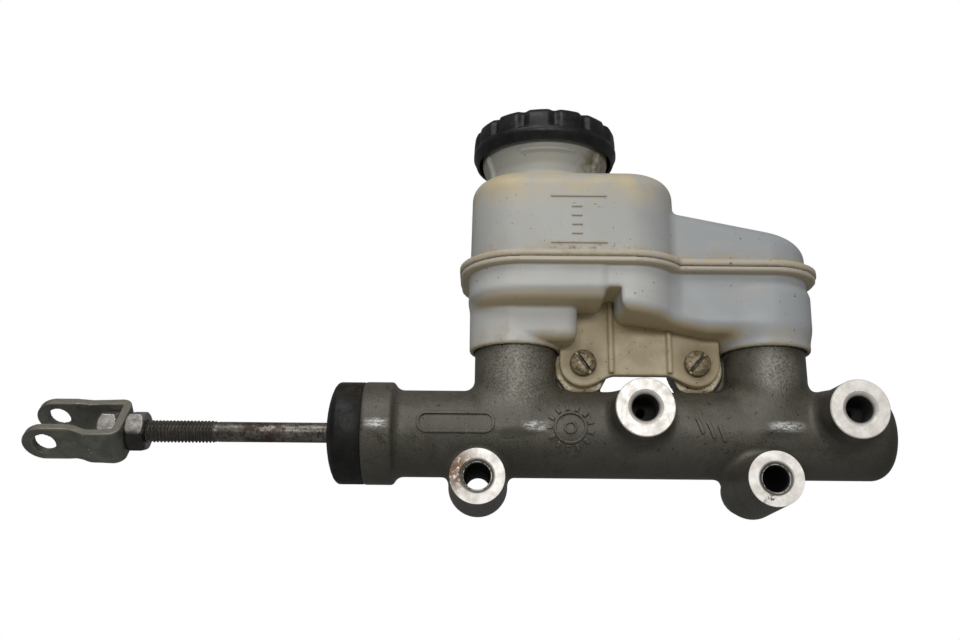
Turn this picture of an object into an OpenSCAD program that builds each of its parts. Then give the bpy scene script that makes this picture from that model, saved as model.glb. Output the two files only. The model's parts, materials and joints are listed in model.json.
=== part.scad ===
// Tandem hydraulic brake master cylinder with its fluid reservoir, push rod and clevis.
// Millimetres, +Z up. The origin is midway between the two mounting holes, on the rear seat faces.
// +X runs along the bore from the push rod towards the closed end, and -Y is the side with the ports.
// Modules are written in the bore frame: X = 0 at the mouth of the casting, Y = Z = 0 on the bore axis.

/* [Casting] */
// Diameter of the hydraulic bore (3/4 inch)
bore_d = 19.05; // [19.05:0.01:19.06]
// Outside diameter of the barrel
barrel_d = 30.8; // [30:0.1:33]
// Outside diameter of the flared mouth
flare_d = 36.3; // [35:0.1:38]
// Length of the flared mouth
flare_l = 10.2; // [8:0.1:12]
// Position of the closed end
barrel_end = 186; // [184:0.5:190]
// Rounding of the closed end
end_r = 7; // [3:0.5:8]
// Outside diameter of the reservoir towers at the skirts
tower_d = 29.2; // [28:0.1:29.4]
// Position of the first tower's axis
tower1_x = 53.5; // [52:0.5:55]
// Position of the second tower's axis
tower2_x = 143.8; // [143:0.2:145]

/* [Mounting bosses] */
// Distance between the two mounting holes
mount_pitch = 96; // [95:0.5:98]
// Position of the first mounting hole
mount1_x = 40.3; // [39:0.1:41]
// Height of the mounting holes below the bore axis
mount_drop = 18.85; // [18:0.05:20]
// Distance from the bore axis to the front face of a boss
mount_front = 33.5; // [30:0.5:36]
// Distance from the bore axis to the rear seat face
seat_back = 10.5; // [9:0.5:14]
// Diameter of the mounting holes
mount_hole_d = 8.6; // [8.2:0.1:9]

/* [Outlet ports] */
// Position of the first outlet port
port1_x = 96.1; // [95:0.1:98]
// Position of the second outlet port
port2_x = 167.3; // [166:0.1:169]
// Height of the ports above the bore axis
port_rise = 5.2; // [4:0.1:6]
// Distance from the bore axis to a port's sealing face
port_front = 27.8; // [26:0.1:30]
// Outside diameter of a port boss
port_boss_d = 20; // [18:0.5:21]
// Minor diameter of the M10 x 1 port thread
port_thread_d = 9; // [8.8:0.1:9.4]

/* [Push rod] */
// Diameter of the plain shank
shank_d = 7.2; // [6.8:0.1:7.4]
// Thread size of the rod
rod_thread_d = 8; // [8:0.1:8.1]
// Position of the inner end of the long thread
thread_inner_x = -53; // [-58:1:-48]
// Centre of the ball end
ball_x = 16; // [15:0.5:17]

/* [Clevis] */
// Outer face of the clevis web
web_x = -84.5; // [-88:0.5:-82]
// Thickness of the clevis strip
strip_t = 3; // [2.8:0.1:3.2]
// Width across the outside of the two ears
clevis_w = 20.6; // [20:0.2:22]
// Distance from the web's outer face to the pin hole
ear_reach = 27.7; // [27:0.1:29]
// Length of an ear past the pin hole's centre
ear_r = 8; // [7.5:0.1:8.5]
// Half width of an ear at the pin hole
ear_half = 6.8; // [6.6:0.1:7.2]
// Diameter of the pin hole
pin_hole_d = 8.2; // [8.1:0.1:8.5]
// Turn of the clevis about the rod
clevis_turn = 47; // [0:1:90]
// How far each ear steps in towards the pin
ear_step = 0.9; // [0:0.1:1.5]

/* [Reservoir] */
// Height of the weld line between the two shells
weld_z = 57.6; // [57:0.1:58]
// Height of the tall lobe's roof
roof_z = 92; // [90:0.5:93]
// Wall thickness
wall = 2.4; // [2:0.1:2.6]
// Half depth of the tall lobe
lobe_half = 26.4; // [26:0.1:27]
// Half depth of the low lobe
low_half = 16.8; // [16.6:0.1:17]
// How far the weld flange stands out of the walls
flange_lip = 3.8; // [3:0.1:4]
// Diameter of the filler neck
neck_d = 47.2; // [46:0.2:48]
// Position of the filler neck's axis
neck_x = 64.7; // [64:0.1:65.5]

/* [Cap] */
// Outside diameter of the cap
cap_d = 54.2; // [53:0.2:56]
// Height of the cap's lower rim
cap_rim_z = 103; // [102:0.5:104]
// Height of the cap's top
cap_top_z = 115.6; // [114:0.2:117]
// Number of finger scallops
scallops = 14; // [10:1:18]

/* [Hidden] */
$fn = 64;
eps = 0.01;

bore_r = bore_d / 2;
barrel_r = barrel_d / 2;
flare_r = flare_d / 2;
flare_taper_x = flare_l + 4.3;
bore_end = barrel_end - 8;
spigot_r = 15;
spigot_l = 9;

tower_r = tower_d / 2;
tower_base_r = tower_r + 0.3;
tower_top = 36;
tower_chamber_r = 9.8;
tower_chamber_floor = 13.2;
grommet_seat_z = 27;
grommet_r = 11;
grommet_flange_r = 13.2;
grommet_flange_t = 2;
nipple_r = 7.5;
nipple_bore_r = 5.5;
nipple_end = 28;
compensating_x = 5;
inlet_x = -6.5;
compensating2_x = 8.2;

mount2_x = mount1_x + mount_pitch;
mount_front_r = 9;
mount_mid_r = 10.4;
mount_back_r = 8.4;
mount_sink_r = 5.75;
mount_sink_t = 1.2;

port_root_r = port_boss_d / 2 + 0.8;
port_sink_r = 5.9;
port_sink_t = 1.2;
port_depth = 12.5;
port_drill_r = 1.6;

lug_z = 25;
lug1_x = 77.6;
lug2_x = 118.4;
lug_front = -2;
lug_back = 6;
lug_r = 9.2;
lug_stem = 10.6;
lug_screw_r = 2.5;
skirt_bottom = 29.6;
lug_top = skirt_bottom - 0.3;

snap_groove_x = 0.5;
snap_t = 1.3;
snap_groove_r = bore_r + 1;
washer_x = 2;
washer_t = 1.3;

primary_rear_x = 3.4;
primary_front_x = 57;
secondary_rear_x = 108;
secondary_front_x = 151;
piston_r = bore_r - 0.05;
seal_r = bore_r - 0.02;
rest_gap = 0.05;
ball_r = 5.8;
socket_r = 6.3;

spring_wire_r = 0.9;
spring_r = 6.6;

function arc(cx, cy, r, a0, a1, n) =
    [for (i = [0 : n]) let (a = a0 + (a1 - a0) * i / n) [cx + r * cos(a), cy + r * sin(a)]];

module from_bore_frame() {
    translate([-(mount1_x + mount_pitch / 2), -seat_back, mount_drop]) children();
}

// A solid of revolution about the bore axis. Each point is [x, radius].
module turned(points) {
    rotate([0, 90, 0]) rotate([0, 0, 90]) rotate_extrude($fn = 96)
        polygon([for (p = points) [p[1], p[0]]]);
}

// A ring about the bore axis
module ring(x0, x1, r_in, r_out) {
    turned([[x0, r_in], [x1, r_in], [x1, r_out], [x0, r_out]]);
}

// A rod about the bore axis
module bar(x0, x1, r) {
    translate([x0, 0, 0]) rotate([0, 90, 0]) cylinder(r = r, h = x1 - x0);
}

// A rod along Y, from the front (low y) to the back
module cross_bar(x, y0, y1, z, r0, r1) {
    translate([x, y0, z]) rotate([-90, 0, 0]) cylinder(r1 = r0, r2 = r1, h = y1 - y0);
}

module hexagon(x0, x1, across_flats) {
    translate([x0, 0, 0]) rotate([0, 90, 0])
        cylinder(r = across_flats / 2 / cos(30), h = x1 - x0, $fn = 6);
}

// ---------------------------------------------------------------- casting

module barrel_blank() {
    turned(concat([[-spigot_l, 0], [-spigot_l, spigot_r], [0, spigot_r], [0, flare_r],
        [flare_l, flare_r], [flare_taper_x, barrel_r]],
        arc(barrel_end - end_r, barrel_r - end_r, end_r, 90, 0, 12), [[barrel_end, 0]]));
}

module tower_blank(x) {
    translate([x, 0, 0]) cylinder(r1 = tower_base_r, r2 = tower_r, h = tower_top);
}

module tower_bores(x, feed_x, vent_x) {
    translate([x, 0, grommet_seat_z]) cylinder(r = grommet_r + 0.02, h = tower_top);
    translate([x, 0, tower_chamber_floor]) cylinder(r = tower_chamber_r, h = tower_top);
    translate([x + feed_x, 0, 0]) cylinder(r = 1.6, h = tower_top, $fn = 24);
    translate([x + vent_x, 0, 0]) cylinder(r = 0.45, h = tower_top, $fn = 24);
}

module mount_boss(x) {
    translate([x, 0, -mount_drop]) rotate([-90, 0, 0]) rotate_extrude() polygon([[0, -mount_front],
        [mount_front_r, -mount_front], [mount_mid_r, 0], [mount_back_r, seat_back], [0, seat_back]]);
}

module mount_bore(x) {
    cross_bar(x, -mount_front - 1, seat_back + 1, -mount_drop, mount_hole_d / 2, mount_hole_d / 2);
    cross_bar(x, -mount_front - eps, -mount_front + mount_sink_t, -mount_drop,
        mount_sink_r, mount_hole_d / 2);
}

module port_boss(x) {
    cross_bar(x, -port_front, 0, port_rise, port_boss_d / 2, port_root_r);
}

module port_bore(x) {
    cross_bar(x, -port_front - 1, -port_front + port_depth, port_rise,
        port_thread_d / 2, port_thread_d / 2);
    cross_bar(x, -port_front - eps, -port_front + port_sink_t, port_rise,
        port_sink_r, port_thread_d / 2);
    cross_bar(x, -port_front, 0, port_rise, port_drill_r, port_drill_r);
}

// A screw lug on top of the barrel, cut flat below the reservoir, with a web to its tower
module lug(x, tower_x) {
    intersection() {
        cross_bar(x, lug_front, lug_back, lug_z, lug_r, lug_r);
        translate([x - 10, lug_front - 1, 0]) cube([20, lug_back - lug_front + 2, lug_top]);
    }
    translate([min(x, tower_x), lug_front + 1.2, 7])
        cube([abs(tower_x - x), lug_back - lug_front - 2, 17]);
    translate([x - lug_stem / 2, lug_front + 0.6, 8])
        cube([lug_stem, lug_back - lug_front - 1.1, 14]);
}

module cylinder_body() color([0.36, 0.35, 0.31]) from_bore_frame() difference() {
    union() {
        barrel_blank();
        for (x = [tower1_x, tower2_x]) tower_blank(x);
        for (x = [mount1_x, mount2_x]) mount_boss(x);
        for (x = [port1_x, port2_x]) port_boss(x);
        lug(lug1_x, tower1_x);
        lug(lug2_x, tower2_x);
    }
    bar(-spigot_l - 1, bore_end, bore_r);
    bar(-spigot_l - eps, -spigot_l + 1.5, bore_r + 1);
    ring(snap_groove_x, snap_groove_x + snap_t, bore_r - 1, snap_groove_r);
    tower_bores(tower1_x, inlet_x, compensating_x);
    tower_bores(tower2_x, inlet_x, compensating2_x);
    translate([tower2_x, 0, 0]) cylinder(r = 1.5, h = tower_top, $fn = 24);
    for (x = [mount1_x, mount2_x]) mount_bore(x);
    for (x = [port1_x, port2_x]) port_bore(x);
    for (x = [lug1_x, lug2_x])
        cross_bar(x, lug_front - 1, lug_back + 1, lug_z, lug_screw_r, lug_screw_r);
}

// ---------------------------------------------------------------- reservoir

lobe_x0 = 37;
lobe_x1 = 111.4;
lobe_corner = 18;
low_x0 = 89;
notch_x0 = 84.2;
notch_z = 47.6;
floor_z = 43.4;
skirt_r = 17.2;
outlet_x1 = 75;
outlet_bottom = 31;
cup_roof = 40.5;
neck_bore_r = 18.8;
low_floor_left = 40.6;
low_floor_right = 34.2;
outlet2_x0 = 121;
low_roof_z = 81;
low_roof_flat_x = 104;
low_roof_round = [148, 61];
low_roof_r = 10;
far_x = 170;
tab_front = -5.5;
tab_t = 3.4;
tab_end_r = 8.3;
tab_bottom = 20;
ribs = [[87.6, 48.4], [108.5, 38]]; // [x, top]

// Plan of the tall lobe, grown by g on every side
module tall_plan(g) {
    r = lobe_corner + g;
    x0 = lobe_x0 - g;
    x1 = lobe_x1 + g;
    w = lobe_half + g;
    translate([x0 + r, -w]) square([x1 - x0 - 2 * r, 2 * w]);
    translate([x0, -w + r]) square([x1 - x0, 2 * w - 2 * r]);
    for (x = [x0 + r, x1 - r], y = [-w + r, w - r]) translate([x, y]) circle(r = r);
}

// Plan of the low lobe, a tongue with a round end about the second tower
module low_plan(g, x0) {
    translate([x0 - g, -low_half - g]) square([tower2_x - x0 + g, 2 * (low_half + g)]);
    translate([tower2_x, 0]) circle(r = low_half + g);
}

// The low lobe's roof falls away from the tall lobe and rounds over at its end
module low_roof_side(drop) {
    translate([0, 60, 0]) rotate([90, 0, 0]) linear_extrude(120)
        polygon(concat([[lobe_x0, 0], [lobe_x0, low_roof_z - drop],
            [low_roof_flat_x, low_roof_z - drop]],
            arc(low_roof_round[0], low_roof_round[1] - drop, low_roof_r, 78, 20, 6),
            [[far_x, low_roof_round[1] - drop], [far_x, 0]]));
}

module upper_solid(g, z0) {
    translate([0, 0, z0]) linear_extrude(roof_z - z0 + g) tall_plan(g);
    intersection() {
        translate([0, 0, z0]) linear_extrude(30) low_plan(g, low_x0);
        low_roof_side(-g);
    }
}

module reservoir_upper_shell() color([0.75, 0.75, 0.73, 0.85]) from_bore_frame() difference() {
    union() {
        upper_solid(0, weld_z);
        translate([0, 0, weld_z]) linear_extrude(2) {
            tall_plan(flange_lip);
            low_plan(flange_lip, low_x0);
        }
        translate([neck_x, 0, roof_z - 1])
            cylinder(r1 = neck_d / 2 - 2.4, r2 = neck_d / 2, h = cap_rim_z - roof_z + 1);
        translate([neck_x, 0, cap_rim_z]) cylinder(r = neck_d / 2, h = 7);
        translate([neck_x, 0, 105.2]) cylinder(r = neck_d / 2 + 1, h = 1.5);
    }
    upper_solid(-wall, weld_z - 1);
    translate([neck_x, 0, roof_z - 8]) cylinder(r = neck_bore_r, h = 40);
}

module tab_plate() {
    translate([0, tab_front + tab_t, 0]) rotate([90, 0, 0]) linear_extrude(tab_t) difference() {
        union() {
            for (x = [lug1_x, lug2_x]) translate([x, lug_z]) circle(r = tab_end_r);
            translate([lug1_x - tab_end_r, lug_z]) square([10, 10]);
            polygon([[lug1_x, tab_bottom], [lug2_x, tab_bottom], [lug2_x, 36], [low_x0 + 1, 41],
                [low_x0 + 1, notch_z + 1], [notch_x0 - 1, notch_z + 1], [notch_x0 - 1, 45],
                [lug1_x, 45]]);
            translate([lug2_x - 2, lug_z]) square([2 + tab_end_r, 10]);
        }
        for (x = [lug1_x, lug2_x]) translate([x, lug_z]) circle(r = 2.8);
        for (x = [lug1_x + 9.6, lug2_x - 9.6]) translate([x, tab_bottom - 4.6]) circle(r = 5);
    }
    for (r = ribs) translate([r[0] - 0.8, tab_front - 1.5, tab_bottom + 0.5])
        cube([1.6, 2, r[1] - tab_bottom]);
}

module low_floor_side(lift) {
    translate([0, 60, 0]) rotate([90, 0, 0]) linear_extrude(120)
        polygon([[low_x0 - 5, low_floor_left + lift], [outlet2_x0, low_floor_right + lift],
            [outlet2_x0, skirt_bottom + lift], [far_x, skirt_bottom + lift],
            [far_x, weld_z + 9], [low_x0 - 5, weld_z + 9]]);
}

// The tall lobe's floor is deepest past low_x0, with a notch between there and notch_x0
module lower_solid(g, z1) {
    translate([0, 0, floor_z - g]) linear_extrude(z1 - floor_z + g) intersection() {
        tall_plan(g);
        translate([0, -50]) square([notch_x0 + g, 100]);
    }
    translate([0, 0, notch_z - g]) linear_extrude(z1 - notch_z + g) tall_plan(g);
    intersection() {
        translate([0, 0, 20]) linear_extrude(z1 - 20) {
            low_plan(g, low_x0);
            intersection() {
                tall_plan(g);
                translate([low_x0 - g, -50]) square([40, 100]);
            }
        }
        low_floor_side(-g);
    }
    translate([tower1_x, -skirt_r - g, outlet_bottom - g])
        cube([outlet_x1 + g - tower1_x, 2 * (skirt_r + g), floor_z + 3 - outlet_bottom]);
    for (x = [tower1_x, tower2_x])
        translate([x, 0, skirt_bottom]) cylinder(r = skirt_r + g, h = floor_z + 3 - skirt_bottom);
}

// The socket that drops over a casting tower, and the nipple left inside it
module socket_cut(x) {
    difference() {
        translate([x, 0, skirt_bottom - 5]) cylinder(r = tower_r + 0.45, h = cup_roof - wall
            - skirt_bottom + 5);
        translate([x, 0, nipple_end]) cylinder(r = nipple_r, h = 20);
    }
    translate([x, 0, nipple_end - 1]) cylinder(r = nipple_bore_r, h = 16);
}

module reservoir_lower_shell() color([0.72, 0.72, 0.7, 0.85]) from_bore_frame() {
    difference() {
        union() {
            lower_solid(0, weld_z);
            translate([0, 0, weld_z - 2]) linear_extrude(2) {
                tall_plan(flange_lip);
                low_plan(flange_lip, low_x0);
            }
            tab_plate();
        }
        difference() {
            lower_solid(-wall, weld_z + 1);
            translate([0, -40, 0]) cube([200, 80, cup_roof]);
        }
        difference() {
            union() {
                translate([tower1_x + 14, -skirt_r + wall, outlet_bottom + wall])
                    cube([outlet_x1 - wall - tower1_x - 14, 2 * (skirt_r - wall), 12]);
                translate([low_x0 + 16, -low_half + wall, low_floor_left - 3 + wall])
                    cube([14, 2 * (low_half - wall), 6]);
            }
            for (x = [tower1_x, tower2_x])
                translate([x, 0, 20]) cylinder(r = skirt_r, h = cup_roof - 20);
        }
        for (x = [tower1_x, tower2_x]) socket_cut(x);
    }
    divider();
}

// The wall that keeps the two circuits' fluid apart when the level is low
module divider() {
    translate([99, -lobe_half + wall - 0.4, cup_roof]) cube([wall, 2 * lobe_half - 2 * wall + 0.8, 13]);
}

module reservoir_cap() color([0.12, 0.12, 0.12]) from_bore_frame() translate([neck_x, 0, 0])
    difference() {
        union() {
            translate([0, 0, cap_rim_z]) cylinder(r1 = cap_d / 2 - 1.6, r2 = cap_d / 2, h = 3.2);
            translate([0, 0, cap_rim_z + 3.2]) cylinder(r = cap_d / 2, h = 1.6);
            difference() {
                translate([0, 0, cap_rim_z + 4.8])
                    cylinder(r = cap_d / 2, h = cap_top_z - cap_rim_z - 4.8);
                for (i = [0 : scallops - 1]) rotate([0, 0, (i + 0.5) * 360 / scallops])
                    translate([cap_d / 2 + 1.4, 0, cap_rim_z + 4.8]) cylinder(r = 3, h = 20, $fn = 32);
            }
        }
        translate([0, 0, cap_rim_z - 1]) cylinder(r = neck_d / 2 + 1.4, h = cap_top_z - cap_rim_z - 1.6);
    }

module cap_diaphragm() color([0.2, 0.2, 0.21]) from_bore_frame() translate([neck_x, 0, 0])
    difference() {
        union() {
            translate([0, 0, roof_z + 18.1]) cylinder(r = neck_d / 2 + 0.9, h = 2.8);
            translate([0, 0, 100]) cylinder(r = 18, h = 11);
        }
        translate([0, 0, 101.2]) cylinder(r = 16.6, h = 20);
    }

module tower_grommets() color([0.1, 0.1, 0.1]) from_bore_frame()
    for (x = [tower1_x, tower2_x]) translate([x, 0, 0]) difference() {
        union() {
            translate([0, 0, grommet_seat_z + eps]) cylinder(r = grommet_r, h = tower_top
                - grommet_seat_z);
            translate([0, 0, tower_top + eps]) cylinder(r = grommet_flange_r, h = grommet_flange_t);
        }
        translate([0, 0, grommet_seat_z - 1]) cylinder(r = nipple_r + 0.02, h = 20);
    }

screw_head_r = 4.7;
screw_head_t = 2.6;
slot_w = 1.2;

module reservoir_screw(x, slot_angle) translate([x, 0, lug_z]) difference() {
    union() {
        cross_bar(0, tab_front - rest_gap - screw_head_t, tab_front - rest_gap, 0,
            screw_head_r - 0.3, screw_head_r);
        cross_bar(0, tab_front - 2 * rest_gap, lug_back - 1, 0, lug_screw_r - 0.02, lug_screw_r - 0.02);
    }
    rotate([0, slot_angle, 0]) translate([-6, tab_front - screw_head_t - 1, -slot_w / 2])
        cube([12, 2.2, slot_w]);
}

module reservoir_screws() color([0.7, 0.66, 0.58]) from_bore_frame() {
    reservoir_screw(lug1_x, 55);
    reservoir_screw(lug2_x, -50);
}

// ---------------------------------------------------------------- push rod group

boot_front_x = -12.4;
boot_hole_r = 5.6;

module dust_boot() color([0.1, 0.1, 0.1]) from_bore_frame()
    turned([[-eps, spigot_r + 0.05], [-eps, flare_r], [-9.3, flare_r], [-9.9, 17.8], [-10.6, 16.6],
        [-11.6, 13], [-12.2, 9], [boot_front_x, boot_hole_r], [-9.3, boot_hole_r],
        [-9.3, spigot_r + 0.05]]);

rod_tip_x = -95.5;
neck_rod_r = 3.2;

module push_rod() color([0.32, 0.31, 0.29]) from_bore_frame() {
    turned([[rod_tip_x, 0], [rod_tip_x, rod_thread_d / 2 - 0.9], [rod_tip_x + 0.9, rod_thread_d / 2],
        [thread_inner_x, rod_thread_d / 2], [thread_inner_x + 0.6, shank_d / 2],
        [ball_x - ball_r - 4, shank_d / 2], [ball_x - ball_r - 3.4, neck_rod_r],
        [ball_x - 3, neck_rod_r], [ball_x - 3, 0]]);
    translate([ball_x, 0, 0]) sphere(r = ball_r);
}

module rod_ball_retainer() color([0.55, 0.55, 0.52]) from_bore_frame()
    ring(ball_x - ball_r - 2.6, ball_x - ball_r - 1, neck_rod_r + 0.06, socket_r - 0.5);

module nut(x0, x1) {
    difference() {
        intersection() {
            hexagon(x0, x1, 13);
            turned([[x0, 0], [x0, 6.3], [x0 + 1.2, 7.51], [x1 - 1.2, 7.51], [x1, 6.3], [x1, 0]]);
        }
        bar(x0 - 1, x1 + 1, rod_thread_d / 2 + 0.02);
    }
}

module lock_nut() color([0.4, 0.39, 0.37]) from_bore_frame()
    rotate([clevis_turn, 0, 0]) nut(web_x + rest_gap, web_x + 6.6);

module clevis_inner_nut() color([0.45, 0.44, 0.42]) from_bore_frame()
    rotate([clevis_turn, 0, 0]) nut(web_x - strip_t - 6.8, web_x - strip_t - rest_gap);

base_half = 7.8;
bend_r = 4;
step_x0 = -102;
step_x1 = -96;

// One ear of the clevis strip, drawn flat: X along the rod, Y across the ear
module ear_outline() {
    pin_x = web_x - ear_reach;
    polygon(concat([for (p = arc(0, 0, 1, 90, 270, 24)) [pin_x + ear_r * p[0], ear_half * p[1]]],
        [[step_x0, -ear_half], [step_x1, -base_half], [web_x + 1, -base_half],
        [web_x + 1, base_half], [step_x1, base_half], [step_x0, ear_half]]));
}

// The stepped line along one face of an ear, from the tip for side -1 and to the tip for side 1
function ear_line(tip, y, side) = let (line = [[tip, y - side * ear_step],
    [step_x0, y - side * ear_step], [step_x1, y]]) side < 0 ? line : [line[2], line[1], line[0]];

// The U of the strip seen along its width: X along the rod, Y from ear to ear
module strip_side() {
    half = clevis_w / 2;
    inner = half - strip_t;
    tip = web_x - ear_reach - ear_r;
    floor_x = web_x - strip_t;
    difference() {
        polygon(concat(ear_line(tip - 1, -half, -1),
            arc(web_x - bend_r, -half + bend_r, bend_r, -90, 0, 8),
            arc(web_x - bend_r, half - bend_r, bend_r, 0, 90, 8), ear_line(tip - 1, half, 1)));
        polygon(concat(ear_line(tip - 2, -inner, -1), arc(floor_x - 1, -inner + 1, 1, -90, 0, 4),
            arc(floor_x - 1, inner - 1, 1, 0, 90, 4), ear_line(tip - 2, inner, 1)));
    }
}

// In the clevis's own frame the pin runs along Y
module clevis() color([0.42, 0.43, 0.4]) from_bore_frame() rotate([clevis_turn, 0, 0])
    difference() {
        intersection() {
            translate([0, 0, -20]) linear_extrude(40) strip_side();
            translate([0, 20, 0]) rotate([90, 0, 0]) linear_extrude(40) ear_outline();
        }
        cross_bar(web_x - ear_reach, -20, 20, 0, pin_hole_d / 2, pin_hole_d / 2);
        bar(web_x - strip_t - 1, web_x + 1, rod_thread_d / 2 + 0.1);
    }

// ---------------------------------------------------------------- inside the bore

module snap_ring() color([0.5, 0.5, 0.5]) from_bore_frame() difference() {
    ring(snap_groove_x + 0.05, snap_groove_x + snap_t - 0.05, bore_r - 1.6, snap_groove_r - 0.1);
    translate([-5, -2.5, -15]) cube([12, 5, 12]);
}

module stop_washer() color([0.6, 0.6, 0.6]) from_bore_frame()
    ring(washer_x, washer_x + washer_t, 6.6, bore_r - 0.05);

waist_piston_r = 7;

// A piston blank with lands at both ends and each seal groove given as [x0, x1]
module piston(x0, x1, waist0, waist1, grooves, groove_r) {
    difference() {
        bar(x0, x1, piston_r);
        ring(waist0, waist1, waist_piston_r, piston_r + 1);
        for (g = grooves) ring(g[0], g[1], groove_r, piston_r + 1);
    }
}

rear_seal = [12, 15.5];
front_cup = [51.6, 56];
module primary_piston() color([0.72, 0.73, 0.74]) from_bore_frame() difference() {
    piston(primary_rear_x, primary_front_x, 20, 46, [rear_seal, front_cup], 6.4 + 0.5);
    bar(primary_rear_x - 1, ball_x, 6.35);
    translate([ball_x, 0, 0]) sphere(r = ball_r + 0.08);
    bar(primary_front_x - 10, primary_front_x + 1, 2.02);
}

// A lip seal: a flat heel and a hollow lip towards the pressure side
module lip_seal(x0, x1, r_in, lip) {
    turned([[x0, r_in], [x0, seal_r - 0.15], [x1, seal_r], [x1, seal_r - 0.7],
        [x0 + lip, seal_r - 1.2], [x0 + lip, r_in + 0.6], [x1 - 0.4, r_in + 0.5], [x1 - 0.4, r_in]]);
}

module primary_rear_seal() color([0.08, 0.08, 0.08]) from_bore_frame()
    lip_seal(rear_seal[0] + 0.05, rear_seal[1] - 0.05, 6.95, 1.2);

module primary_cup() color([0.08, 0.08, 0.08]) from_bore_frame()
    lip_seal(front_cup[0] + 0.6, front_cup[1] - 0.05, 6.95, 1.4);

module primary_cup_washer() color([0.7, 0.7, 0.7]) from_bore_frame()
    ring(front_cup[0] + 0.05, front_cup[0] + 0.55, 6.95, bore_r - 0.3);

// Spring wire along X as one swept solid, its end coils closed up
module coil(x0, x1, r, turns) {
    sides = 8;
    steps = turns * 16;
    dead = 1;
    function pos(i) = let (t = i / 16) x0 + spring_wire_r + (t < dead ? t * 2 * spring_wire_r * 1.05 / dead
        : t > turns - dead ? (x1 - x0 - 2 * spring_wire_r)
            - (turns - t) * 2 * spring_wire_r * 1.05 / dead
        : 2.1 * spring_wire_r + (t - dead) / (turns - 2 * dead)
            * (x1 - x0 - 2 * spring_wire_r - 4.2 * spring_wire_r));
    points = [for (i = [0 : steps]) let (a = i * 22.5) for (k = [0 : sides - 1])
        let (b = k * 360 / sides, q = r + spring_wire_r * cos(b))
        [pos(i) + spring_wire_r * sin(b), q * cos(a), q * sin(a)]];
    faces = concat([[for (k = [0 : sides - 1]) k]],
        [for (i = [0 : steps - 1], k = [0 : sides - 1]) let (n = (k + 1) % sides)
            [i * sides + k, (i + 1) * sides + k, (i + 1) * sides + n, i * sides + n]],
        [[for (k = [sides - 1 : -1 : 0]) steps * sides + k]]);
    polyhedron(points, faces, convexity = 10);
}

retainer_flange_x = secondary_rear_x - rest_gap;
retainer_crown_x = 98.5;
primary_spring_x0 = primary_front_x + rest_gap;
primary_spring_x1 = retainer_flange_x - 1.1;

module primary_spring() color([0.55, 0.56, 0.58]) from_bore_frame()
    coil(primary_spring_x0, primary_spring_x1, spring_r, 8);

module primary_spring_retainer() color([0.68, 0.66, 0.5]) from_bore_frame() turned([
    [retainer_crown_x, 2.3], [retainer_crown_x, 5.2], [retainer_flange_x - 1, 5.2],
    [retainer_flange_x - 1, 8.4], [retainer_flange_x, 8.4], [retainer_flange_x, 4.2],
    [retainer_crown_x + 1, 4.2], [retainer_crown_x + 1, 2.3]]);

module spring_retainer_screw() color([0.6, 0.6, 0.6]) from_bore_frame() {
    bar(primary_front_x - 9.5, retainer_crown_x + 1 + 2 * rest_gap, 2);
    bar(retainer_crown_x + 1 + 2 * rest_gap, retainer_crown_x + 4, 3.6);
}

pressure_cup = [109.4, 113];
rear_cup = [115, 118.6];
secondary_cup = [146.5, 150.2];
waist_end = tower2_x + 1.7;
module secondary_piston() color([0.72, 0.73, 0.74]) from_bore_frame() difference() {
    piston(secondary_rear_x, secondary_front_x, 121, waist_end,
        [pressure_cup, rear_cup, [secondary_cup[0] - 0.6, secondary_cup[1]]], 6.9);
    bar(secondary_rear_x - 1, secondary_rear_x + 18, 4.6);
    bar(secondary_front_x - 8, secondary_front_x + 1, 3.2);
}

module secondary_pressure_cup() color([0.08, 0.08, 0.08]) from_bore_frame() mirror_x(pressure_cup)
    lip_seal(pressure_cup[0] + 0.05, pressure_cup[1] - 0.05, 6.95, 1.2);

module secondary_rear_seal() color([0.08, 0.08, 0.08]) from_bore_frame()
    lip_seal(rear_cup[0] + 0.05, rear_cup[1] - 0.05, 6.95, 1.2);

module secondary_front_cup() color([0.08, 0.08, 0.08]) from_bore_frame()
    lip_seal(secondary_cup[0] + 0.05, secondary_cup[1] - 0.05, 6.95, 1.2);

module secondary_cup_washer() color([0.7, 0.7, 0.7]) from_bore_frame()
    ring(secondary_cup[0] - 0.55, secondary_cup[0], 6.95, bore_r - 0.3);

// Turns a seal end for end about the middle of its groove
module mirror_x(groove) {
    translate([groove[0] + groove[1], 0, 0]) mirror([1, 0, 0]) children();
}

secondary_spring_x0 = secondary_front_x + 1.2;

module secondary_spring_seat() color([0.68, 0.66, 0.5]) from_bore_frame() turned([
    [secondary_front_x - 7, 0], [secondary_front_x - 7, 3.1], [secondary_front_x + rest_gap, 3.1],
    [secondary_front_x + rest_gap, 8.4], [secondary_front_x + 1.1, 8.4],
    [secondary_front_x + 1.1, 5], [secondary_front_x + 4, 4.4], [secondary_front_x + 4, 0]]);

module secondary_spring() color([0.55, 0.56, 0.58]) from_bore_frame()
    coil(secondary_spring_x0, bore_end - rest_gap, spring_r, 5);

module secondary_stop_pin() color([0.6, 0.6, 0.6]) from_bore_frame() translate([tower2_x, 0, 0]) {
    translate([0, 0, waist_piston_r + 0.3]) cylinder(r = 1.49, h = 8);
    translate([0, 0, tower_chamber_floor + eps]) cylinder(r = 2.6, h = 2.6);
}

cylinder_body();
reservoir_lower_shell();
reservoir_upper_shell();
reservoir_cap();
cap_diaphragm();
tower_grommets();
reservoir_screws();
dust_boot();
push_rod();
lock_nut();
clevis();
clevis_inner_nut();
rod_ball_retainer();
snap_ring();
stop_washer();
primary_piston();
primary_rear_seal();
primary_cup();
primary_cup_washer();
primary_spring();
spring_retainer_screw();
primary_spring_retainer();
secondary_piston();
secondary_rear_seal();
secondary_pressure_cup();
secondary_front_cup();
secondary_cup_washer();
secondary_spring();
secondary_spring_seat();
secondary_stop_pin();
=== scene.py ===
import json
import math

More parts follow.
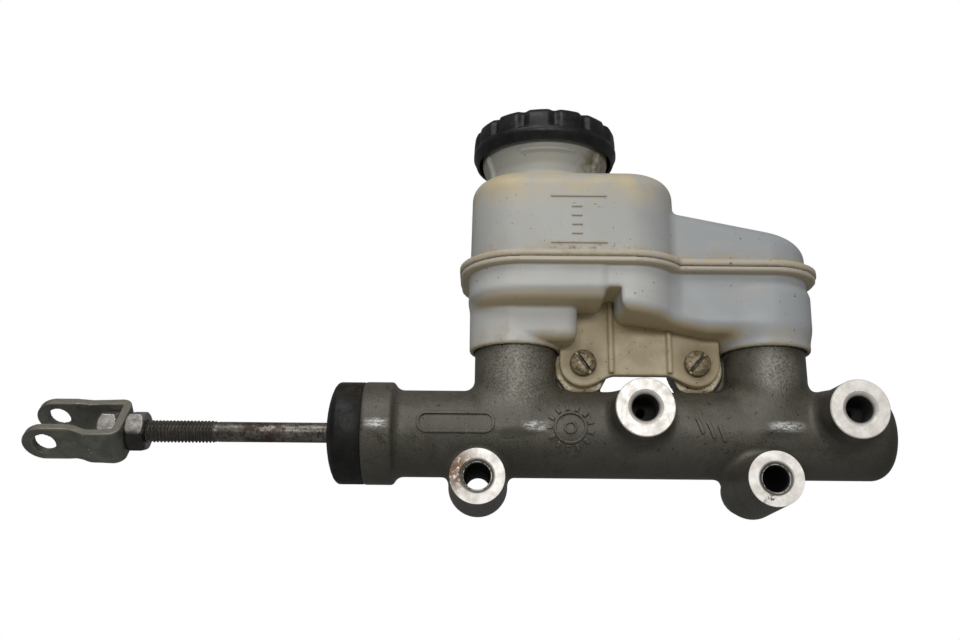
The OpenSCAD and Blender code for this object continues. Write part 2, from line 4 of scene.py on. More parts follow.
import bpy
import numpy as np
from mathutils import Matrix, Vector


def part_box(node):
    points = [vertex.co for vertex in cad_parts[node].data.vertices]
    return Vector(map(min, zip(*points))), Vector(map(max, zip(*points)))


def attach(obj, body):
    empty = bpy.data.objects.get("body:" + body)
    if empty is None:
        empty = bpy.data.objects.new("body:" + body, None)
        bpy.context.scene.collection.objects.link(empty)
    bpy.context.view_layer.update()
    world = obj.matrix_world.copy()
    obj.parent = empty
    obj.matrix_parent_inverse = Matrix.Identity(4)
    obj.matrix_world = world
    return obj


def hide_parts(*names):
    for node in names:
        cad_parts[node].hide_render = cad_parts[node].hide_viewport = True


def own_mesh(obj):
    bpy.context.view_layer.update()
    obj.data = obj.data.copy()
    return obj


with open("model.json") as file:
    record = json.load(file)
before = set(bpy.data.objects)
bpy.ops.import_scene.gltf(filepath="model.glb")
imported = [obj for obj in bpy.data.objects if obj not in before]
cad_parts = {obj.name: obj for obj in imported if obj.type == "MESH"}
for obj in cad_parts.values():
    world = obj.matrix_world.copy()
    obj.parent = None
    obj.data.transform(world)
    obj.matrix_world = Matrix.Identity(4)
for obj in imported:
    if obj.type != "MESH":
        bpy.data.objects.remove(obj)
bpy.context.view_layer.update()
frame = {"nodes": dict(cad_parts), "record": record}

# Shapes below are written in the bore frame in millimetres, as in the CAD source:
# x = 0 at the mouth of the casting, y = z = 0 on the bore axis, -y towards the ports.
MM = 0.001
boot_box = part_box("dust_boot")
ORIGIN = np.array([boot_box[1][0], (boot_box[0][1] + boot_box[1][1]) / 2,
                   (boot_box[0][2] + boot_box[1][2]) / 2])


def in_row(point):
    """A point in the bore frame, millimetres, as a vector in the row frame, metres."""
    return Vector((np.asarray(point, float) * MM + ORIGIN).tolist())


def in_bore(point):
    """A point in the row frame, metres, as an array in the bore frame, millimetres."""
    return (np.asarray(point, float) - ORIGIN) / MM


mounts = {m["name"]: m for m in frame["record"]["mounts"]}
BORE_R = 9.525
BARREL_R = 15.4
FLARE_R = 18.15
FLARE_L = 10.4
BARREL_END = 186.0
TOWERS = (53.5, 143.8)
TOWER_R = 14.6
TOWER_TOP = 36.0
MOUNT_HALF_PITCH = 48.0
MOUNT_X = [in_bore(mounts["mounting_holes"]["pos_m"])[0] + s * MOUNT_HALF_PITCH for s in (-1, 1)]
MOUNT_Z = in_bore(mounts["mounting_holes"]["pos_m"])[2]
MOUNT_FRONT = -33.5
MOUNT_BACK = in_bore(mounts["mounting_holes"]["pos_m"])[1]
PORTS = [in_bore(mounts[n + "_outlet_port"]["pos_m"]) for n in ("primary", "secondary")]
PORT_FRONT = -27.8
LUGS = (77.6, 118.4)
LUG_Z = 25.0
WELD_Z = 57.6
ROOF_Z = 92.0
NECK_X = 64.7
NECK_R = 23.6
PIN_X = in_bore(mounts["clevis_pin_hole"]["pos_m"])[0]
CLEVIS_TURN = math.radians(47)
# Centres and sizes, in millimetres, of the painted glints on the barrel.
GLINT_SPOTS = (((5.5, -18, 0.6), 5.5), ((60, -15, 0.6), 6), ((146, -15, 1.0), 8))
WEB_X = -84.5


# ------------------------------------------------------------ meshes

def add_mesh(name, points, faces, material, body, sharp=None):
    """A new object from points in the bore frame and an array of quads or a list of faces."""
    mesh = bpy.data.meshes.new(name)
    rows = np.asarray(points, float) * MM + ORIGIN
    if isinstance(faces, np.ndarray):
        size = faces.shape[1]
        mesh.vertices.add(len(rows))
        mesh.vertices.foreach_set("co", rows.ravel())
        mesh.loops.add(faces.size)
        mesh.loops.foreach_set("vertex_index", faces.ravel().astype(np.int32))
        mesh.polygons.add(len(faces))
        mesh.polygons.foreach_set("loop_start", np.arange(0, faces.size, size, dtype=np.int32))
        mesh.update(calc_edges=True)
    else:
        mesh.from_pydata(rows.tolist(), [], faces)
    mesh.validate()
    mesh.polygons.foreach_set("use_smooth", [True] * len(mesh.polygons))
    if sharp is not None:
        mesh.set_sharp_from_angle(angle=math.radians(sharp))
    piece = bpy.data.objects.new(name, mesh)
    bpy.context.scene.collection.objects.link(piece)
    mesh.materials.append(material)
    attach(piece, body)
    return piece


def tube_faces(rows, around, cap_start=True, cap_end=True):
    """Faces of rows of points, each row a closed loop, with the two ends capped."""
    i, k = np.meshgrid(np.arange(rows - 1), np.arange(around), indexing="ij")
    n = (k + 1) % around
    quads = np.stack([i * around + k, i * around + n, (i + 1) * around + n, (i + 1) * around + k],
                     -1).reshape(-1, 4)
    faces = quads.tolist()
    if cap_start:
        faces.append(list(range(around))[::-1])
    if cap_end:
        faces.append([(rows - 1) * around + j for j in range(around)])
    return faces


def ring_faces(rows, around):
    """Faces of rows of points that close on themselves both ways, as on a torus."""
    i, k = np.meshgrid(np.arange(rows), np.arange(around), indexing="ij")
    n, m = (k + 1) % around, (i + 1) % rows
    return np.stack([i * around + k, i * around + n, m * around + n, m * around + k],
                    -1).reshape(-1, 4)


def smooth_step(a, b, v):
    t = np.clip((v - a) / (b - a), 0, 1)
    return t * t * (3 - 2 * t)


def surface_nets(field, low, high, step):
    """Quads near the zero surface of a field that is negative inside, drawn onto that surface."""
    low = np.asarray(low, float)
    counts = np.ceil((np.asarray(high) - low) / step).astype(int) + 1
    axes = [low[a] + np.arange(counts[a]) * step for a in range(3)]
    values = np.empty(counts, np.float32)
    slab = 24
    for start in range(0, counts[0], slab):
        part = np.meshgrid(axes[0][start:start + slab], axes[1], axes[2], indexing="ij", sparse=True)
        values[start:start + slab] = field(*part)
    cells = counts - 1
    inside = values < 0
    found, spots, quads = [], [], []
    for axis in range(3):
        first = [slice(None)] * 3
        second = [slice(None)] * 3
        first[axis] = slice(0, -1)
        second[axis] = slice(1, None)
        a, b = values[tuple(first)], values[tuple(second)]
        edges = np.argwhere(inside[tuple(first)] != inside[tuple(second)])
        va, vb = a[tuple(edges.T)], b[tuple(edges.T)]
        at = edges.astype(float)
        at[:, axis] += va / (va - vb)
        u, v = [(axis + 1) % 3, (axis + 2) % 3]
        ids = []
        whole = np.ones(len(edges), bool)
        for du, dv in ((0, 0), (1, 0), (1, 1), (0, 1)):
            cell = edges.copy()
            cell[:, u] -= du
            cell[:, v] -= dv
            ok = ((cell >= 0) & (cell < cells)).all(1)
            whole &= ok
            ids.append((cell[:, 0] * cells[1] + cell[:, 1]) * cells[2] + cell[:, 2])
            found.append(ids[-1][ok])
            spots.append(at[ok])
        quad = np.stack(ids, 1)[whole]
        back = (va < 0)[whole]
        quad[~back] = quad[~back][:, ::-1]
        quads.append(quad)
    found, spots, quads = np.concatenate(found), np.concatenate(spots), np.concatenate(quads)
    names, index = np.unique(found, return_inverse=True)
    total = np.bincount(index)[:, None]
    points = np.stack([np.bincount(index, spots[:, a]) for a in range(3)], 1) / total
    points = points * step + low
    faces = np.searchsorted(names, quads)
    reach = step * 0.4
    for _ in range(3):
        value = field(points[:, 0], points[:, 1], points[:, 2])
        slope = np.empty_like(points)
        for a in range(3):
            moved = points.copy()
            moved[:, a] += 0.05
            slope[:, a] = (field(moved[:, 0], moved[:, 1], moved[:, 2]) - value) / 0.05
        size = np.maximum((slope ** 2).sum(1), 0.25)
        shift = (value / size)[:, None] * slope
        points -= np.clip(shift, -reach, reach)
    return points, faces


# Fields: each is about the distance to a surface in millimetres, negative inside

def fillet(a, b, r):
    """The union of two fields with a concave fillet of radius r between them."""
    return np.maximum(r, np.minimum(a, b)) - np.hypot(np.maximum(r - a, 0), np.maximum(r - b, 0))


def rounded(a, b, r):
    """The overlap of two fields with its edge rounded to radius r."""
    return np.minimum(-r, np.maximum(a, b)) + np.hypot(np.maximum(r + a, 0), np.maximum(r + b, 0))


def slab_field(v, low, high):
    return np.maximum(low - v, v - high)


def box_field(u, v, u0, u1, v0, v1, r):
    """A rectangle with round corners in the plane of u and v."""
    qu = np.abs(u - (u0 + u1) / 2) - (u1 - u0) / 2 + r
    qv = np.abs(v - (v0 + v1) / 2) - (v1 - v0) / 2 + r
    return np.hypot(np.maximum(qu, 0), np.maximum(qv, 0)) + np.minimum(np.maximum(qu, qv), 0) - r


def cone_y(x, y, z, cx, cz, stations):
    """A round boss along y whose radius runs through the (y, radius) stations."""
    ys, rs = zip(*stations)
    return np.hypot(x - cx, z - cz) - np.interp(y, ys, rs)


# ------------------------------------------------------------ materials

def srgb(r, g, b):
    """A colour given as display values from 0 to 255, made linear."""
    def one(v):
        v /= 255
        return v / 12.92 if v <= 0.04045 else ((v + 0.055) / 1.055) ** 2.4
    return (one(r), one(g), one(b), 1.0)


def grey(value):
    return (value, value, value, 1.0)


def row_at(**place):
    """The row-frame coordinate, in metres, of a plane given as x, y or z in the bore frame."""
    (axis, value), = place.items()
    return float(value * MM + ORIGIN["xyz".index(axis)])


class Look:
    """A node material put together from a few short calls."""

    def __init__(self, name, **sockets):
        self.mat = bpy.data.materials.new(name)
        self.mat.use_nodes = True
        self.tree = self.mat.node_tree
        self.shader = self.tree.nodes["Principled BSDF"]
        for key, value in sockets.items():
            self.shader.inputs[key.replace("_", " ")].default_value = value
        self.coords = self.tree.nodes.new("ShaderNodeTexCoord").outputs["Object"]

    def link(self, a, b):
        self.tree.links.new(a, b)

    def node(self, kind, **settings):
        n = self.tree.nodes.new("ShaderNode" + kind)
        for key, value in settings.items():
            setattr(n, key, value)
        return n

    def feed(self, socket, value):
        if isinstance(value, bpy.types.NodeSocket):
            self.link(value, socket)
        else:
            socket.default_value = value

    def noise(self, size_mm, detail=3, rough=0.55, stretch=(1, 1, 1), distort=0.0):
        """Noise whose features are about size_mm across, from 0 to 1."""
        where = self.node("Mapping")
        where.inputs["Scale"].default_value = stretch
        self.link(self.coords, where.inputs["Vector"])
        n = self.node("TexNoise")
        n.inputs["Scale"].default_value = 1 / (size_mm * MM)
        n.inputs["Detail"].default_value = detail
        n.inputs["Roughness"].default_value = rough
        n.inputs["Distortion"].default_value = distort
        self.link(where.outputs["Vector"], n.inputs["Vector"])
        return n.outputs["Fac"]

    def span(self, value, low, high, out_low=0.0, out_high=1.0, smooth=True):
        """Maps low..high to out_low..out_high, held at both ends."""
        n = self.node("MapRange", interpolation_type="SMOOTHSTEP" if smooth else "LINEAR")
        n.clamp = True
        self.link(value, n.inputs["Value"])
        for key, v in (("From Min", low), ("From Max", high), ("To Min", out_low),
                       ("To Max", out_high)):
            n.inputs[key].default_value = v
        return n.outputs["Result"]

    def maths(self, kind, a, b=0.0):
        n = self.node("Math", operation=kind)
        self.feed(n.inputs[0], a)
        self.feed(n.inputs[1], b)
        return n.outputs[0]

    def mix(self, share, a, b, blend="MIX"):
        n = self.node("Mix", data_type="RGBA", blend_type=blend)
        self.feed(n.inputs["Factor"], share)
        self.feed(n.inputs[6], a)
        self.feed(n.inputs[7], b)
        return n.outputs[2]

    def place(self, axis):
        """The object coordinate along one axis, in metres in the row frame."""
        n = self.node("SeparateXYZ")
        self.link(self.coords, n.inputs[0])
        return n.outputs[axis]

    def facing(self, axis):
        """How far the surface faces along an axis, from -1 to 1."""
        n = self.node("SeparateXYZ")
        self.link(self.node("NewGeometry").outputs["Normal"], n.inputs[0])
        return n.outputs[axis]

    def near(self, point, radius_mm, soft=0.5):
        """1 close to a point of the bore frame, 0 beyond the radius."""
        n = self.node("VectorMath", operation="DISTANCE")
        self.link(self.coords, n.inputs[0])
        n.inputs[1].default_value = in_row(point)
        return self.span(n.outputs["Value"], radius_mm * MM * (1 - soft), radius_mm * MM, 1.0, 0.0)

    def edges(self, low=0.51, high=0.56):
        n = self.node("NewGeometry")
        return self.span(n.outputs["Pointiness"], low, high)

    def bump(self, height, depth_mm, strength=1.0, under=None):
        n = self.node("Bump")
        n.inputs["Strength"].default_value = strength
        n.inputs["Distance"].default_value = depth_mm * MM
        self.link(height, n.inputs["Height"])
        if under is not None:
            self.link(under, n.inputs["Normal"])
        return n.outputs["Normal"]

    def finish(self, color=None, roughness=None, normal=None):
        for key, value in (("Base Color", color), ("Roughness", roughness), ("Normal", normal)):
            if value is not None:
                self.feed(self.shader.inputs[key], value)
        return self.mat


def casting_look():
    look = Look("cast_aluminium", IOR=1.5, Metallic=0.3)
    x, y, z = look.place("X"), look.place("Y"), look.place("Z")
    broad = look.noise(26, 4, 0.6)
    patch = look.noise(7, 4, 0.65)
    grain = look.noise(0.55, 3, 0.7)
    color = look.mix(look.span(broad, 0.35, 0.65), srgb(76, 73, 63), srgb(92, 89, 79))
    color = look.mix(look.span(patch, 0.42, 0.7, 0, 0.55), color, srgb(66, 59, 44))
    oil = look.span(look.noise(11, 5, 0.7, distort=1.2), 0.56, 0.72, 0, 0.6)
    color = look.mix(oil, color, srgb(46, 38, 26))
    color = look.mix(look.span(grain, 0.45, 0.62, 0, 0.3), color, srgb(112, 110, 102))
    color = look.mix(look.edges(0.52, 0.6), color, srgb(112, 110, 100))
    # Painted highlight: a bright sparkle painted around each tower's fillet.
    for tower, wide in zip(TOWERS, (19, 11)):
        tower_highlight = look.maths("MULTIPLY", look.near((tower + 1, -14, 21), wide, 0.7),
                           look.span(look.noise(0.8, 4, 0.8), 0.38, 0.62, 0.1, 0.85))
        color = look.mix(tower_highlight, color, srgb(146, 142, 132))
    for lug in LUGS:
        milled = look.maths("MULTIPLY", look.near((lug, -2, LUG_Z - 0.9), 9.9, 0.04),
                            look.span(y, row_at(y=-1.7), row_at(y=-1.9)))
        color = look.mix(look.maths("MULTIPLY", milled, look.span(look.noise(2, 4, 0.7), 0.3, 0.5)),
                         color, srgb(204, 192, 162))
    # Painted glints: thin near-white streaks painted on the barrel at each spot, standing for
    # reflections of the front softbox.
    for at, wide in GLINT_SPOTS:
        off = look.maths("ABSOLUTE", look.maths("SUBTRACT", z, row_at(z=at[2])))
        glint = look.maths("MULTIPLY", look.near(at, wide, 0.9), look.span(off, 0.0004, 0.0024, 1, 0))
        glint = look.maths("MULTIPLY", glint,
                          look.span(look.noise(0.8, 4, 0.8, (0.35, 1, 1)), 0.42, 0.58, 0.1, 0.9))
        color = look.mix(glint, color, srgb(226, 226, 222))
    pits = look.span(look.noise(1.3, 2, 0.5), 0.66, 0.73, 0, 0.8)
    color = look.mix(pits, color, srgb(24, 21, 16))
    # Painted shade: the right end of the barrel is painted darker.
    right = look.span(x, row_at(x=168), row_at(x=186), 0, 0.45)
    color = look.mix(right, color, srgb(44, 41, 34))
    shade = look.maths("MULTIPLY", look.span(look.facing("Z"), -0.2, -0.9, 0, 0.3),
                       look.span(z, row_at(z=0), row_at(z=-8)))
    color = look.mix(shade, color, srgb(40, 36, 28))
    rough = look.span(grain, 0.3, 0.7, 0.34, 0.58)
    rough = look.maths("SUBTRACT", rough, look.maths("MULTIPLY", oil, 0.2))
    normal = look.bump(grain, 0.12, 0.8)
    normal = look.bump(look.noise(2.2, 3, 0.6), 0.14, 0.7, normal)
    normal = look.bump(patch, 0.2, 0.35, normal)
    return look.finish(color, rough, normal)


def machined_look(name, front, start, wall):
    """Bright turned metal on the face at y = front; the hole walls from start behind it are painted
    dark as painted shade.
    """
    look = Look(name, IOR=1.5, Metallic=0.25)
    patch = look.noise(3.5, 4, 0.6)
    color = look.mix(look.span(patch, 0.35, 0.7), srgb(242, 238, 231), srgb(224, 217, 208))
    color = look.mix(look.span(look.noise(1.1, 3, 0.7), 0.63, 0.73, 0, 0.6), color,
                     srgb(150, 140, 126))
    rust = look.maths("MULTIPLY", look.near((MOUNT_X[0] - 7.2, MOUNT_FRONT, MOUNT_Z + 2), 10.5, 0.8),
                      look.span(look.noise(1.2, 4, 0.7), 0.3, 0.5))
    color = look.mix(rust, color, srgb(104, 74, 44))
    chip = look.maths("MULTIPLY", look.near((MOUNT_X[1] - 1, MOUNT_FRONT, MOUNT_Z - 8), 6, 0.8),
                      look.span(look.noise(1.6, 3, 0.7), 0.54, 0.62))
    color = look.mix(chip, color, srgb(96, 88, 74))
    # Painted shade: the hole walls are painted dark from start behind the face.
    deep = look.span(look.place("Y"), row_at(y=front + start), row_at(y=front + start + 1.3))
    color = look.mix(deep, color, srgb(*wall))
    normal = look.bump(look.noise(0.5, 2, 0.6, (1, 1, 6)), 0.02, 0.5)
    rough = look.mix(deep, look.span(patch, 0.3, 0.7, 0.3, 0.48), grey(0.8))
    return look.finish(color, rough, normal)


def plastic_look(name, upper):
    look = Look(name, IOR=1.49)
    x, z, upward = look.place("X"), look.place("Z"), look.facing("Z")
    base, shade = ((184, 184, 179), (175, 175, 171)) if upper else ((203, 203, 199), (192, 192, 188))
    cloud = look.noise(12, 3, 0.5)
    color = look.mix(look.span(look.noise(30, 3, 0.5), 0.35, 0.65), srgb(*base), srgb(*shade))
    middle = look.span(x, row_at(x=88), row_at(x=122))
    color = look.mix(look.maths("MULTIPLY", middle, 0.75), color, srgb(156, 161, 165))
    color = look.mix(look.span(cloud, 0.5, 0.75, 0, 0.25), color, srgb(198, 190, 172))
    if upper:
        band = look.span(z, row_at(z=WELD_Z + 1.5), row_at(z=WELD_Z + 8), 1, 0)
        band = look.maths("MULTIPLY", band, look.span(look.noise(8, 4, 0.7), 0.38, 0.62, 0, 0.8))
        color = look.mix(band, color, srgb(172, 152, 118))
        soot = look.maths("MULTIPLY", look.near((78, -26, 60), 21, 0.6),
                          look.span(look.noise(3.2, 5, 0.75), 0.5, 0.64, 0, 0.8))
        soot = look.maths("MULTIPLY", soot, look.span(z, row_at(z=62), row_at(z=65), 1, 0))
        color = look.mix(soot, color, srgb(126, 98, 62))
        high = look.maths("MULTIPLY", look.span(z, row_at(z=74), row_at(z=88)),
                          look.span(look.noise(14, 4, 0.6), 0.38, 0.62, 0.15, 0.8))
        color = look.mix(high, color, srgb(204, 186, 146))
        # Painted shade: the neck under the cap is painted grey.
        neck = look.maths("MULTIPLY", look.span(z, row_at(z=91.5), row_at(z=93.5)),
                          look.span(x, row_at(x=96), row_at(x=92)))
        color = look.mix(look.maths("MULTIPLY", neck, 0.8), color, srgb(158, 159, 153))
        stain = look.maths("MULTIPLY", look.near((84, -14, 97), 13, 0.8),
                           look.span(look.noise(5, 4, 0.7), 0.35, 0.6))
        color = look.mix(stain, color, srgb(112, 100, 72))
    else:
        # Surfaces facing down are painted a darker tan: partly painted shade on the undersides, partly
        # brown grime.
        under = look.span(upward, -0.3, -0.9, 0, 0.9)
        color = look.mix(under, color, srgb(196, 178, 140))
        low = look.maths("MULTIPLY", look.span(z, row_at(z=40), row_at(z=31)),
                         look.span(look.noise(9, 4, 0.6), 0.4, 0.65, 0.1, 0.5))
        color = look.mix(low, color, srgb(176, 160, 126))
    lip = look.maths("MULTIPLY", look.span(z, row_at(z=WELD_Z - 2.4), row_at(z=WELD_Z - 1.8)),
                     look.span(z, row_at(z=WELD_Z + 2.2), row_at(z=WELD_Z + 3.0), 1, 0))
    color = look.mix(look.maths("MULTIPLY", lip, 0.7), color, srgb(194, 184, 162))
    seam = look.maths("MULTIPLY", look.span(z, row_at(z=WELD_Z - 0.5), row_at(z=WELD_Z - 0.1)),
                      look.span(z, row_at(z=WELD_Z + 0.15), row_at(z=WELD_Z + 0.5), 1, 0))
    color = look.mix(look.maths("MULTIPLY", seam, look.span(look.noise(3, 4, 0.7), 0.4, 0.6, 0, 0.35)),
                     color, srgb(150, 128, 92))
    specks = look.span(look.noise(1.5, 2, 0.5), 0.71, 0.75, 0, 0.75)
    color = look.mix(specks, color, srgb(86, 72, 50))
    streak = look.span(look.noise(3, 4, 0.7, (1, 1, 0.3)), 0.64, 0.78, 0, 0.35)
    color = look.mix(streak, color, srgb(150, 138, 114))
    normal = look.bump(look.noise(9, 2, 0.5), 0.3, 0.3)
    normal = look.bump(look.noise(0.6, 2, 0.6), 0.02, 0.6, normal)
    look.shader.inputs["Subsurface Weight"].default_value = 0.3
    look.shader.inputs["Subsurface Radius"].default_value = (1.0, 0.95, 0.85)
    look.shader.inputs["Subsurface Scale"].default_value = 0.003
    return look.finish(color, look.span(cloud, 0.3, 0.7, 0.38, 0.56), normal)


def mark_look():
    look = Look("level_mark", IOR=1.49)
    return look.finish(look.mix(look.noise(2, 4, 0.7), srgb(158, 138, 104), srgb(186, 178, 160)), 0.5)


def tab_look():
    look = Look("stained_tab", IOR=1.49)
    color = look.mix(look.span(look.noise(9, 4, 0.6), 0.35, 0.65), srgb(206, 192, 162),
                     srgb(190, 175, 140))
    dirt = look.span(look.place("Z"), row_at(z=30), row_at(z=40), 0, 0.5)
    color = look.mix(dirt, color, srgb(160, 140, 98))
    right = look.span(look.place("X"), row_at(x=106), row_at(x=114), 0, 0.5)
    color = look.mix(right, color, srgb(160, 144, 108))
    for lug in LUGS:
        color = look.mix(look.maths("MULTIPLY", look.near((lug, -5, LUG_Z), 11, 0.6), 0.65), color,
                         srgb(140, 122, 84))
    color = look.mix(look.span(look.noise(1.3, 2, 0.6), 0.68, 0.74, 0, 0.8), color, srgb(60, 46, 28))
    normal = look.bump(look.noise(1.2, 3, 0.6), 0.05, 0.5)
    return look.finish(color, look.span(look.noise(4, 3), 0.3, 0.7, 0.42, 0.6), normal)


def rubber_look():
    look = Look("boot_rubber", IOR=1.5, Specular_IOR_Level=0.3)
    color = look.mix(look.span(look.noise(5, 4, 0.65), 0.4, 0.65), srgb(13, 13, 12),
                     srgb(25, 24, 21))
    dirt = look.maths("MULTIPLY", look.span(look.place("Z"), row_at(z=7), row_at(z=17)),
                      look.span(look.noise(4, 4, 0.7), 0.4, 0.62, 0, 0.75))
    color = look.mix(dirt, color, srgb(60, 48, 32))
    scuff = look.span(look.noise(1.4, 4, 0.75), 0.6, 0.7, 0, 0.4)
    color = look.mix(scuff, color, srgb(58, 54, 48))
    normal = look.bump(look.noise(0.8, 3, 0.6), 0.06, 0.6)
    return look.finish(color, look.span(look.noise(3, 3, 0.6), 0.35, 0.7, 0.45, 0.7), normal)


def cap_look():
    look = Look("cap_plastic", IOR=1.5, Specular_IOR_Level=0.35)
    color = look.mix(look.span(look.noise(4, 4, 0.6), 0.4, 0.7), srgb(16, 16, 17), srgb(27, 27, 27))
    dust = look.span(look.noise(1.0, 3, 0.7), 0.6, 0.75, 0, 0.35)
    color = look.mix(dust, color, srgb(66, 64, 60))
    color = look.mix(look.maths("MULTIPLY", look.edges(0.52, 0.6), 0.35), color, srgb(78, 78, 78))
    normal = look.bump(look.noise(0.35, 2, 0.6), 0.03, 0.6)
    return look.finish(color, look.span(look.noise(2, 3, 0.6), 0.35, 0.7, 0.32, 0.52), normal)


def rod_look():
    look = Look("rod_steel", IOR=1.5, Metallic=0.6)
    color = look.mix(look.span(look.noise(4, 4, 0.7, (0.35, 1, 1)), 0.4, 0.65), srgb(88, 83, 78),
                     srgb(128, 123, 116))
    rust = look.maths("MULTIPLY", look.near((-37, 0, 0), 17, 0.8),
                      look.span(look.noise(4.2, 4, 0.65, (0.8, 1, 1)), 0.46, 0.56, 0, 0.85))
    color = look.mix(rust, color, srgb(70, 50, 35))
    grime = look.span(look.noise(1.1, 4, 0.7), 0.5, 0.62, 0, 0.8)
    color = look.mix(grime, color, srgb(36, 31, 27))
    thread = look.span(look.place("X"), row_at(x=-52.5), row_at(x=-53.5))
    color = look.mix(look.maths("MULTIPLY", thread, 0.6), color, srgb(82, 79, 70))
    rough = look.mix(rust, look.span(look.noise(2, 3), 0.3, 0.7, 0.26, 0.42), grey(0.7))
    normal = look.bump(look.noise(0.9, 4, 0.7), 0.05, 0.7)
    return look.finish(color, rough, normal)


def nut_look():
    look = Look("nut_steel", IOR=1.5, Metallic=0.85)
    color = look.mix(look.span(look.noise(2.5, 4, 0.7), 0.38, 0.65), srgb(128, 124, 119),
                     srgb(168, 162, 156))
    color = look.mix(look.span(look.noise(0.9, 3, 0.7), 0.56, 0.68, 0, 0.75), color,
                     srgb(48, 43, 38))
    color = look.mix(look.maths("MULTIPLY", look.edges(0.53, 0.62), 0.6), color, srgb(200, 196, 188))
    # Painted shade: the lower front facets of both nuts are painted dark.
    for x in (WEB_X + 3.3, WEB_X - 6.4):
        facet_shade = look.maths("MULTIPLY", look.near((x, -5.4, -6.0), 6.2, 0.25),
                            look.span(look.noise(3, 3), 0.2, 0.4, 0.6, 0.9))
        color = look.mix(facet_shade, color, srgb(46, 43, 39))
    normal = look.bump(look.noise(0.6, 3, 0.7), 0.05, 0.8)
    return look.finish(color, look.span(look.noise(1.5, 3, 0.6), 0.3, 0.7, 0.28, 0.5), normal)


def clevis_look():
    look = Look("clevis_steel", IOR=1.5, Metallic=0.5)
    color = look.mix(look.span(look.noise(6, 4, 0.65), 0.38, 0.65), srgb(96, 98, 90),
                     srgb(116, 117, 108))
    color = look.mix(look.span(look.noise(2.2, 5, 0.75), 0.56, 0.7, 0, 0.7), color, srgb(54, 52, 46))
    brown = look.span(look.noise(5, 4, 0.7), 0.56, 0.7, 0, 0.4)
    color = look.mix(brown, color, srgb(96, 80, 62))
    across = look.maths("SUBTRACT",
                        look.maths("MULTIPLY", look.maths("SUBTRACT", look.place("Z"), row_at(z=0)),
                                   math.cos(CLEVIS_TURN)),
                        look.maths("MULTIPLY", look.maths("SUBTRACT", look.place("Y"), row_at(y=0)),
                                   math.sin(CLEVIS_TURN)))
    rim = look.span(look.maths("ABSOLUTE", across), 0.0058, 0.0062, 0, 0.6)
    color = look.mix(rim, color, srgb(150, 145, 130))
    color = look.mix(look.maths("MULTIPLY", look.edges(0.52, 0.6), 0.7), color, srgb(150, 148, 136))
    normal = look.bump(look.noise(0.5, 3, 0.7), 0.04, 0.7)
    normal = look.bump(look.noise(3, 3, 0.6), 0.12, 0.3, normal)
    return look.finish(color, look.span(look.noise(1.5, 3, 0.6), 0.3, 0.7, 0.38, 0.6), normal)


def screw_look():
    look = Look("screw_zinc", IOR=1.5, Metallic=0.45)
    color = look.mix(look.span(look.noise(2, 4, 0.7), 0.4, 0.62), srgb(140, 128, 104),
                     srgb(108, 92, 66))
    color = look.mix(look.span(look.noise(1.4, 4, 0.7), 0.5, 0.62, 0, 0.85), color,
                     srgb(72, 52, 28))
    # Painted shade: each screw slot is painted dark below its mouth.
    slot = look.span(look.place("Y"), row_at(y=-7.55), row_at(y=-7.25), 0, 0.9)
    middle = look.maths("MAXIMUM", look.near((LUGS[0], -7, LUG_Z), 4.2, 0.2),
                        look.near((LUGS[1], -7, LUG_Z), 4.2, 0.2))
    color = look.mix(look.maths("MULTIPLY", slot, middle), color, srgb(22, 16, 10))
    normal = look.bump(look.noise(0.4, 3, 0.7), 0.03, 0.7)
    return look.finish(color, look.span(look.noise(1.5, 3, 0.6), 0.3, 0.7, 0.3, 0.55), normal)


def plain_metal_look(name, light, dark, rough, metallic):
    """Bright turned or drawn metal for the pieces inside."""
    look = Look(name, IOR=1.5, Metallic=metallic)
    color = look.mix(look.span(look.noise(3, 3, 0.6), 0.35, 0.65), srgb(*light), srgb(*dark))
    normal = look.bump(look.noise(0.25, 2, 0.5, (6, 1, 1)), 0.01, 0.6)
    return look.finish(color, look.span(look.noise(1.2, 3, 0.6), 0.3, 0.7, rough - 0.08,
                                        rough + 0.08), normal)


def seal_look():
    look = Look("seal_rubber", IOR=1.5, Roughness=0.5)
    color = look.mix(look.span(look.noise(1.5, 3, 0.6), 0.4, 0.65), srgb(22, 22, 23),
                     srgb(38, 38, 40))
    return look.finish(color, normal=look.bump(look.noise(0.5, 2, 0.5), 0.02, 0.5))


CAST = casting_look()
MOUNT_FACE = machined_look("mount_face", MOUNT_FRONT, 0.1, (16, 15, 13))
PORT_FACE = machined_look("port_face", PORT_FRONT, 0.2, (48, 47, 45))
UPPER_PLASTIC, LOWER_PLASTIC = plastic_look("milky_upper", True), plastic_look("milky_lower", False)
TAB, MARK, RUBBER, CAP = tab_look(), mark_look(), rubber_look(), cap_look()
ROD, NUT, CLEVIS, SCREW = rod_look(), nut_look(), clevis_look(), screw_look()
SPRING = plain_metal_look("spring_wire", (150, 150, 152), (112, 112, 116), 0.35, 0.9)
ZINC = plain_metal_look("zinc_plate", (196, 196, 192), (170, 168, 160), 0.38, 0.8)
PISTON = plain_metal_look("turned_aluminium", (214, 215, 218), (192, 194, 198), 0.3, 0.85)
SEAL = seal_look()


# ------------------------------------------------------------ casting

